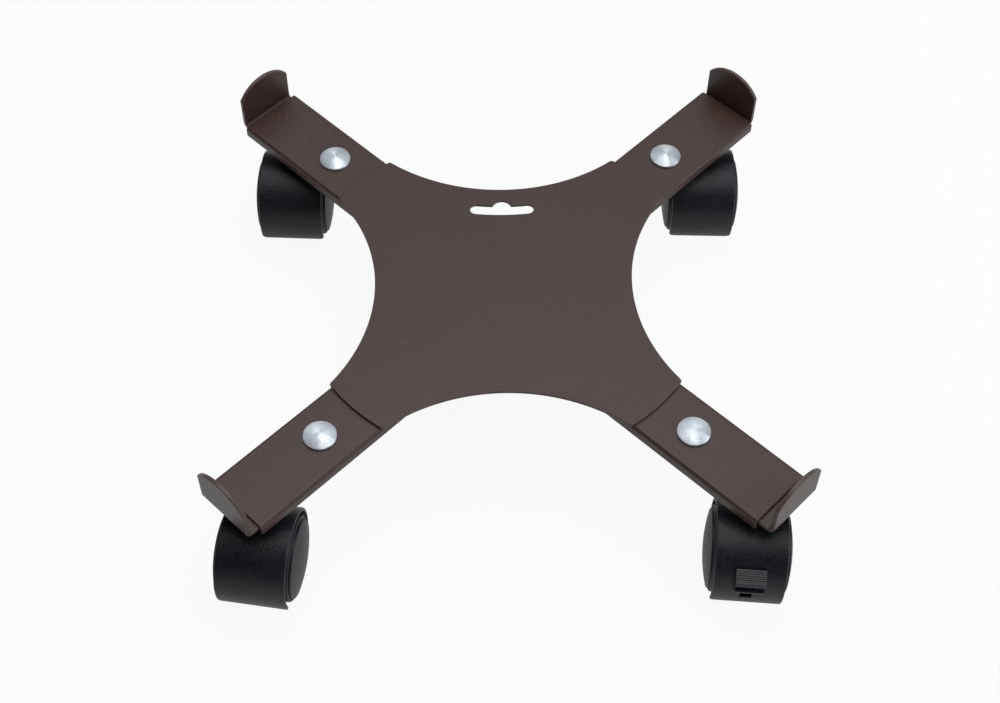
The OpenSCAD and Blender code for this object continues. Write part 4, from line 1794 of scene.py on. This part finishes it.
    def _wheel_profile(self) -> Loop:
        """Half section of a wheel as (radius, distance from the caster's middle).

        Returns:
            The loop.
        """
        edge, r = self.rim_edge_r, self.wheel_r
        rim, disc, soft = self.wheel_rim, self.disc_r, self.disc_edge_r
        crown = rim + self.disc_rise + self.disc_crown
        dome_low = disc - soft
        dome_r = (dome_low**2 + self.disc_crown**2) / (2 * self.disc_crown)
        dome_z = rim + self.disc_rise
        reach = math.degrees(math.asin(dome_low / dome_r))
        floor = rim - self.wall
        outer_groove = disc + self.groove
        cut_angle = math.degrees(math.acos((outer_groove - (r - edge)) / edge))
        loop = [(self.bore_r, self.wheel_in), (self.hub_wheel_r, self.wheel_in), (self.hub_wheel_r, floor)]
        loop += [(r - self.wall, floor), (r - self.wall, self.wheel_in)]
        loop += arc((r - edge, self.wheel_in + edge), edge, -90, 0, 15)
        loop += arc((r - edge, rim - edge), edge, 0, cut_angle, 15)
        loop += [(outer_groove, rim - self.groove), (disc, rim - self.groove)]
        loop += arc((dome_low, dome_z - soft), soft, 0, 90 - reach, 12)
        loop += arc((0, crown - dome_r), dome_r, 90 - reach, 90, 1.2)
        loop[-1] = (0.0, crown)
        loop += [(0.0, self.bore_end), (self.bore_r, self.bore_end)]
        return without_doubles(loop)

    def _wheel(self, corner: Corner, side: Side) -> None:
        """One wheel with the ribs in its hollow side.

        Args:
            corner: Corner of the caddy.
            side: Which wheel it is.
        """
        place = corner.caster_frame(self.stem_at) @ shift(0, -self.trail, self.axle_z) @ turn("Y", side.turn)
        name = f"{side.label}_disc_wheel_{corner.label}"
        obj = self.shop.turned(name, self._wheel_profile(), self.segments, Slot.WHEEL)
        floor = self.wheel_rim - self.wall
        bite = self.rib_bite
        long = self.wheel_r - self.wall - self.hub_wheel_r + 2 * bite
        tall = floor - self.wheel_in - self.rib_t + bite
        bm = bmesh.new()
        add_box(bm, (long, self.rib_t, tall), shift(0, 0, floor + bite - tall / 2), self.rib_edge)
        ribs = new_object("ribs", bm)
        middle = (self.wheel_r - self.wall + self.hub_wheel_r) / 2
        self.shop.repeat(ribs, Slot.WHEEL, self.rib_count, middle, 0, step=360 / self.rib_count)
        combine(obj, [ribs])
        obj.data.transform(in_metres(place))
        name = f"{side.label}_wheel_{corner.label}"
        self.shop.finish(obj, Slot.WHEEL, name, [name], MOULDED_SHARP)

    def build(self, corner: Corner, brake: BrakeLever | None = None) -> None:
        """Makes a caster and dresses it.

        Args:
            corner: Corner of the caddy.
            brake: Brake lever, if this caster has one.
        """
        self._hood(corner, brake)
        for side in Side:
            self._wheel(corner, side)
        kept = {"caster_stem": Slot.ZINC, "stem_ring": Slot.SPRING, "caster_axle": Slot.ZINC}
        for name, slot in kept.items():
            self.shop.dress_node(f"{name}_{corner.label}", slot)
        if brake:
            brake.build(self, corner)


@dataclass
class BrakeLever:
    """Brake lever: pedal outside the hood, tongue through its slot, shoe over the treads."""

    shop: Workshop  # Where its piece is finished.
    pedal_in: float = 24.5  # Radius of the pedal's face along the hood.
    pedal_w: float = 13.9  # Width of the pedal.
    pedal_l: float = 7.2  # Length of its ridged face.
    pedal_slope: float = 25.0  # Slope of the ridged face below the horizontal.
    pedal_t: float = 5.65  # Height of its outer end.
    pedal_low: float = 14.0  # Angle at which its underside meets the hood.
    pedal_high: float = 39.7  # Angle at which its ridged face meets the hood.
    lip_out: float = 0.85  # How far the lip below its groove stands out.
    lip_t: float = 0.8  # Thickness of that lip.
    skin: float = 0.9  # Thickness of the ridged face above the groove.
    grip_depth: float = 1.2  # Depth of the finger groove in its outer end.
    edge_r: float = 0.25  # Radius on the edges of its two ends.
    tip_r: float = 0.7  # Radius on its upper outer edge.
    toe_r: float = 0.35  # Radius on its lower outer edge.
    ridge_count: int = 5  # Number of ridges.
    ridge_h: float = 0.4  # Height of a ridge.
    ridge_w: float = 0.55  # Width of a ridge.
    ridge_first: float = 0.7  # Distance from the hood to the first ridge.
    ridge_share: float = 0.64  # Share of the face that has ridges.
    ridge_end: float = 0.35  # How far a ridge ends before the pedal's ends.
    ridge_edge: float = 0.2  # Rounding of a ridge's edges.
    root_l: float = 2.0  # How far the pedal's shape starts inside the hood, before the hood's room is cut.
    groove_r: float = 0.5  # Radius along the bottom of the finger groove.
    slot_low: float = -4.0  # Lower end of the slot in the hood.
    slot_high: float = 32.5  # Upper end of the slot in the hood.
    slot_w: float = 5.4  # Width of the slot.
    side: float = 1.0  # Distance of slot and tongue from the hood's middle.
    tongue_angle: float = 22.0  # Angle at which the tongue meets the pedal.
    tongue_bite: float = 0.75  # How far the tongue reaches into the pedal.
    tongue_h: float = 5.0  # Height of the tongue.
    tongue_w: float = 4.8  # Width of the tongue.
    tongue_edge: float = 0.3  # Rounding of the tongue's edges.
    tongue_end: float = 4.7  # Outer part of the tongue that the slot and the shoe's room clear.
    pin_at: float = 7.0  # Distance from the axle to the pin.
    pin_angle: float = 105.0  # Angle of the pin about the axle.
    pin_r: float = 1.3  # Radius of the pin's hole.
    hub_r: float = 3.15  # Radius of the lever's hub.
    shoe_out: float = 21.75  # Outer radius of the shoe.
    shoe_t: float = 0.8  # Thickness of the shoe.
    shoe_w: float = 24.0  # Width of the shoe.
    shoe_low: float = 17.0  # Lower angle of the shoe.
    shoe_high: float = 27.0  # Upper angle of the shoe.
    shoe_corner_r: float = 0.6  # Radius on the shoe's corners.
    shoe_edge_r: float = 0.2  # Radius on the shoe's edges.
    shoe_room: float = 3.0  # Depth of the room for the shoe in the hood's web.
    shoe_sweep: float = 5.0  # Angle that this room reaches past the shoe.
    slot_room: float = 0.5  # Depth of the slot's opening through the web.
    slot_inset: float = 0.2  # How far that opening ends inside the slot's ends.
    slot_narrow: float = 0.1  # How much narrower than the slot it is.
    room_corner_r: float = 0.3  # Radius on the corners of such a room.
    room_edge_r: float = 0.1  # Radius on its edges.
    turn_angle: float = 5.5  # Angle that the lever turns.
    gap: float = 0.3  # Clearance round the lever.
    overlap: float = 0.01  # How far faces that would else lie in one plane stand apart.
    cut_past: float = 1.0  # How far a cutter, or a shape that is cut back, reaches past the cut.
    drum_segments: int = 180  # Facets of the hollow along the hood.

    def slot(self) -> tuple[float, float, float, float]:
        """Slot in the hood as first angle, last angle, width and place of its middle."""
        return (self.slot_low, self.slot_high, self.slot_w, self.side)

    def _tongue(self) -> tuple[Vector, float, float]:
        """The pin's place, and the tongue's length and angle, round the axle.

        Returns:
            Place, length and angle in degrees.
        """
        pin = Vector(polar(self.pin_at, self.pin_angle))
        run = Vector(polar(self.pedal_in, self.tongue_angle)) - pin
        return pin, run.length + self.tongue_bite, math.degrees(math.atan2(run.y, run.x))

    def room(self, caster: Caster, corner: Corner) -> list[Object]:
        """Shapes to cut from the hood so that the lever can turn.

        Args:
            caster: Caster that carries the lever.
            corner: Its corner.

        Returns:
            The cutters.
        """
        axle = caster.axle_frame(corner)
        pin, length, angle = self._tongue()
        wide = self.tongue_w + 4 * self.gap
        at_pin = axle @ shift(pin.x, pin.y, self.side)
        short = length - self.tongue_end
        cutters = [caster.post("hub_room", self.hub_r + 2 * self.gap, -wide / 2, wide / 2, at_pin)]
        for k, swing in enumerate((0.0, -self.turn_angle)):
            apart = k * self.overlap
            size = (short, self.tongue_h + 2 * self.gap + apart, wide - apart)
            bm = bmesh.new()
            add_box(bm, size, at_pin @ turn("Z", angle + swing) @ shift(short / 2, 0, 0))
            cutters.append(new_object("tongue_room", bm))
        rounding = (self.room_corner_r, self.room_edge_r, self.room_edge_r)
        shoe_low = self.shoe_low - self.turn_angle - self.shoe_sweep
        cutters.append(caster.band(
            corner, "shoe_room", caster.hood_in - self.shoe_room, self.shoe_room + 2 * self.overlap,
            shoe_low, self.shoe_high + self.shoe_sweep, caster.web_w + self.cut_past, *rounding,
        ))
        inside = self.gap + self.slot_room
        opening = caster.band(
            corner, "slot_room", caster.hood_in - self.slot_room, caster.hood_wall / 2 + inside,
            self.slot_low + self.slot_inset, self.slot_high - self.slot_inset,
            self.slot_w - self.slot_narrow, *rounding,
        )
        aside = axle.to_3x3() @ Vector((0, 0, self.side))
        opening.data.transform(in_metres(Matrix.Translation(aside)))
        cutters.append(opening)
        return cutters

    def _pedal(self, axle: Matrix) -> Object:
        """Pedal without its ridges: a wedge, hollowed along the hood and below its outer edge.

        Args:
            axle: Frame on the axle.

        Returns:
            The pedal.
        """
        top = Vector(polar(self.pedal_in, self.pedal_high))
        ahead = Vector(polar(1, -self.pedal_slope))
        tip = top + ahead * self.pedal_l
        toe = tip + Vector((self.lip_out, -self.pedal_t))
        heel = Vector(polar(self.pedal_in - self.cut_past, self.pedal_low))
        corners = [heel, toe, tip, top - ahead * self.root_l]
        section = soften([tuple(corner) for corner in corners], [0, self.toe_r, self.tip_r, 0])
        bm = bmesh.new()
        blank = Blank(section, self.pedal_w, self.edge_r, self.edge_r, edge_steps=4)
        blank.add_to(bm, lambda u, v, w: axle @ Vector((u, v, w - self.pedal_w / 2)))
        obj = new_object("brake_pedal", bm)
        bm = bmesh.new()
        r, wide = self.pedal_in, self.pedal_w
        add_lathe(bm, [(0, -wide), (r, -wide), (r, wide), (0, wide)], self.drum_segments, axle)
        hollow = new_object("hood_room", bm)
        under = tip + Vector(polar(self.skin, -90 - self.pedal_slope))
        back = under - ahead * self.grip_depth
        floor = toe.y + self.lip_t
        past = 3 * self.cut_past
        corners = [(back.x, floor), (tip.x + past, floor), tuple(under + ahead * past), tuple(back)]
        groove = soften(corners, [self.groove_r, 0, 0, self.groove_r])
        long = self.pedal_w + 2 * self.cut_past
        blank = Blank(groove, long, self.room_edge_r, self.room_edge_r)
        bm = bmesh.new()
        blank.add_to(bm, lambda u, v, w: axle @ Vector((u, v, w - long / 2)))
        combine(obj, cuts=[hollow, new_object("finger_groove", bm)])
        return obj

    def _ridges(self, axle: Matrix) -> Object:
        """Rounded ridges across the upper part of the pedal's face.

        Args:
            axle: Frame on the axle.

        Returns:
            The ridges.
        """
        bm = bmesh.new()
        long = self.pedal_w - 2 * self.ridge_end
        add_box(bm, (self.ridge_w, 2 * self.ridge_h, long), Matrix.Identity(4), self.ridge_edge)
        obj = new_object("ridges", bm)
        step = (self.ridge_share * self.pedal_l - self.ridge_first) / (self.ridge_count - 1)
        self.shop.repeat(obj, Slot.LEVER, self.ridge_count, self.ridge_first, 0, along=step)
        x, y = polar(self.pedal_in, self.pedal_high)
        obj.data.transform(in_metres(axle @ shift(x, y, 0) @ turn("Z", -self.pedal_slope)))
        return obj

    def build(self, caster: Caster, corner: Corner) -> None:
        """Makes the lever and dresses it.

        Args:
            caster: Caster that carries the lever.
            corner: Its corner.
        """
        axle = caster.axle_frame(corner)
        pin, length, angle = self._tongue()
        at_pin = axle @ shift(pin.x, pin.y, self.side)
        bm = bmesh.new()
        along = at_pin @ turn("Z", angle) @ shift(length / 2, 0, 0)
        add_box(bm, (length, self.tongue_h, self.tongue_w), along, self.tongue_edge)
        half = self.tongue_w / 2 + self.overlap
        joins = [
            self._ridges(axle),
            caster.band(
                corner, "shoe", self.shoe_out - self.shoe_t, self.shoe_t, self.shoe_low, self.shoe_high,
                self.shoe_w, self.shoe_corner_r, self.shoe_edge_r, self.shoe_edge_r,
            ),
            caster.post("hub", self.hub_r, -half, half, at_pin),
            new_object("tongue", bm),
        ]
        cuts = [caster.post("pin_hole", self.pin_r, -self.tongue_w, self.tongue_w, at_pin)]
        obj = self._pedal(axle)
        combine(obj, joins, cuts)
        self.shop.finish(obj, Slot.LEVER, "brake_lever", ["brake_lever"], MOULDED_SHARP)
        self.shop.dress_node("brake_pin", Slot.ZINC)


@dataclass(frozen=True)
class SoftBox:
    """A rectangular lamp that faces the object."""

    name: str  # Name of the lamp.
    place: tuple[float, float, float]  # Its place in metres.
    size: Point  # Its two sides in metres.
    power: float  # Its power in watts.
    colour: Colour = (1.0, 1.0, 1.0)  # Its colour.

    def build(self) -> None:
        """Makes the lamp."""
        data = bpy.data.lights.new(self.name, "AREA")
        data.shape = "RECTANGLE"
        data.size, data.size_y = self.size
        data.energy = self.power
        data.color = self.colour
        lamp = bpy.data.objects.new(self.name, data)
        lamp.location = self.place
        lamp.rotation_mode = "QUATERNION"
        lamp.rotation_quaternion = (-Vector(self.place)).to_track_quat("-Z", "Y")
        bpy.context.scene.collection.objects.link(lamp)


@dataclass
class Studio:
    """White floor, soft light and the camera at the photograph's angle."""

    ground: float = GROUND  # Height of the floor in millimetres.
    floor_half: float = 30000.0  # Half the floor's width in millimetres.
    floor_gap: float = 0.05  # How far the floor lies below the treads in millimetres.
    floor_grey: float = 0.82  # How much light the floor gives back.
    floor_rough: float = 0.9  # Roughness of the floor.
    floor_specular: float = 0.1  # Specular level of the floor.
    floor_seen: float = 0.93  # Share of plain white in the floor as the camera sees it.
    floor_mirrored: float = 0.5  # Share of plain white in the floor as the pieces mirror it.
    surround: Colour = (0.9, 0.95, 1.0)  # Colour of the surround.
    surround_power: float = 0.085  # Brightness of the surround.
    # Overhead box, a dim card behind and a weak box on the right.
    lamps: Sequence[SoftBox] = (
        SoftBox("overhead_box", (0.1, 0.05, 1.3), (1.4, 0.9), 8.8),
        SoftBox("back_card", (0.0, 1.2, 1.5), (3.0, 1.6), 11.5, (0.9, 0.96, 1.0)),
        SoftBox("right_box", (1.35, -0.3, 0.6), (1.0, 0.8), 7.0, (0.85, 0.93, 1.0)),
    )
    # Point that the camera looks at, in millimetres.
    target: tuple[float, float, float] = (-2.498, -39.4, 0.0)
    azimuth: float = -1.546  # Camera's angle round the object in degrees.
    elevation: float = 53.795  # Camera's angle above the horizon in degrees.
    roll: float = 0.672  # Camera's roll in degrees.
    distance: float = 783.4  # Distance to the target in millimetres.
    sensor: float = 36.0  # Width of the sensor in millimetres.
    lens: float = 59.845  # Focal length in millimetres.
    near: float = 0.01  # Nearest distance that shows, in metres.
    far: float = 100.0  # Farthest distance that shows, in metres.

    def _white(self) -> Material:
        """White that stays white to the camera and keeps a faint shadow.

        Returns:
            The material.
        """
        material = bpy.data.materials.new("white_floor")
        material.use_nodes = True
        tree = material.node_tree
        wire = Wiring(tree)
        shader = tree.nodes["Principled BSDF"]
        wire.fill(shader, {
            "Base Color": (*[self.floor_grey] * 3, 1.0),
            "Roughness": self.floor_rough,
            "Specular IOR Level": self.floor_specular,
        })
        rays = wire.node("ShaderNodeLightPath").outputs
        mirrored = wire.math("MAXIMUM", rays["Is Glossy Ray"], rays["Is Transmission Ray"])
        seen = wire.math("MULTIPLY", rays["Is Camera Ray"], self.floor_seen)
        share = wire.math("MAXIMUM", seen, wire.math("MULTIPLY", mirrored, self.floor_mirrored))
        white = wire.node("ShaderNodeEmission", {"Color": (1, 1, 1, 1), "Strength": 1.0})
        mixed = wire.node("ShaderNodeMixShader", {0: share, 1: shader.outputs[0], 2: white.outputs[0]})
        wire.fill(tree.nodes["Material Output"], {"Surface": mixed.outputs[0]})
        return material

    def _floor(self) -> None:
        """Large white floor."""
        half = self.floor_half
        bm = bmesh.new()
        bm.faces.new([
            bm.verts.new((x, y, self.ground - self.floor_gap))
            for x, y in ((-half, -half), (half, -half), (half, half), (-half, half))
        ])
        floor = new_object("studio_floor", bm)
        floor.data.materials.append(self._white())

    def _light(self) -> None:
        """Soft boxes and a dim surround."""
        for lamp in self.lamps:
            lamp.build()
        world = bpy.data.worlds.new("studio")
        world.use_nodes = True
        background = world.node_tree.nodes["Background"]
        background.inputs["Color"].default_value = (*self.surround, 1.0)
        background.inputs["Strength"].default_value = self.surround_power
        bpy.context.scene.world = world

    def _camera(self) -> None:
        """Camera at the photograph's place."""
        a, e, r = (math.radians(x) for x in (self.azimuth, self.elevation, self.roll))
        back = Vector((math.sin(a) * math.cos(e), -math.cos(a) * math.cos(e), math.sin(e)))
        level = Vector((math.cos(a), math.sin(a), 0))
        upright = back.cross(level)
        right = level * math.cos(r) + upright * math.sin(r)
        up = upright * math.cos(r) - level * math.sin(r)
        data = bpy.data.cameras.new("photo_camera")
        data.sensor_fit = "HORIZONTAL"
        data.sensor_width = self.sensor
        data.lens = self.lens
        data.clip_start = self.near
        data.clip_end = self.far
        camera = bpy.data.objects.new("photo_camera", data)
        facing = Matrix((right, up, back)).transposed().to_4x4()
        camera.matrix_world = Matrix.Translation((Vector(self.target) + back * self.distance) * MM) @ facing
        bpy.context.scene.collection.objects.link(camera)
        bpy.context.scene.camera = camera

    def build(self) -> None:
        """Sets up the floor, the lamps and the camera."""
        self._floor()
        self._light()
        self._camera()
        bpy.context.scene.view_settings.view_transform = "Standard"
        log.info("studio ready")


def main() -> None:
    """Builds the caddy's sub-assemblies in order, then the studio."""
    logging.basicConfig(level=logging.INFO, format="%(name)s: %(message)s")
    shop = Workshop()
    CentrePlate(shop).build()
    arm, bar, caster = ChannelArm(shop), SlideBar(shop), Caster(shop)
    brake = BrakeLever(shop)
    for corner in Corner:
        arm.build(corner)
        bar.build(corner)
        caster.build(corner, brake if corner is Corner.FRONT_RIGHT else None)
    Fasteners(shop).build()
    Studio().build()


if __name__ == "__main__":
    main()
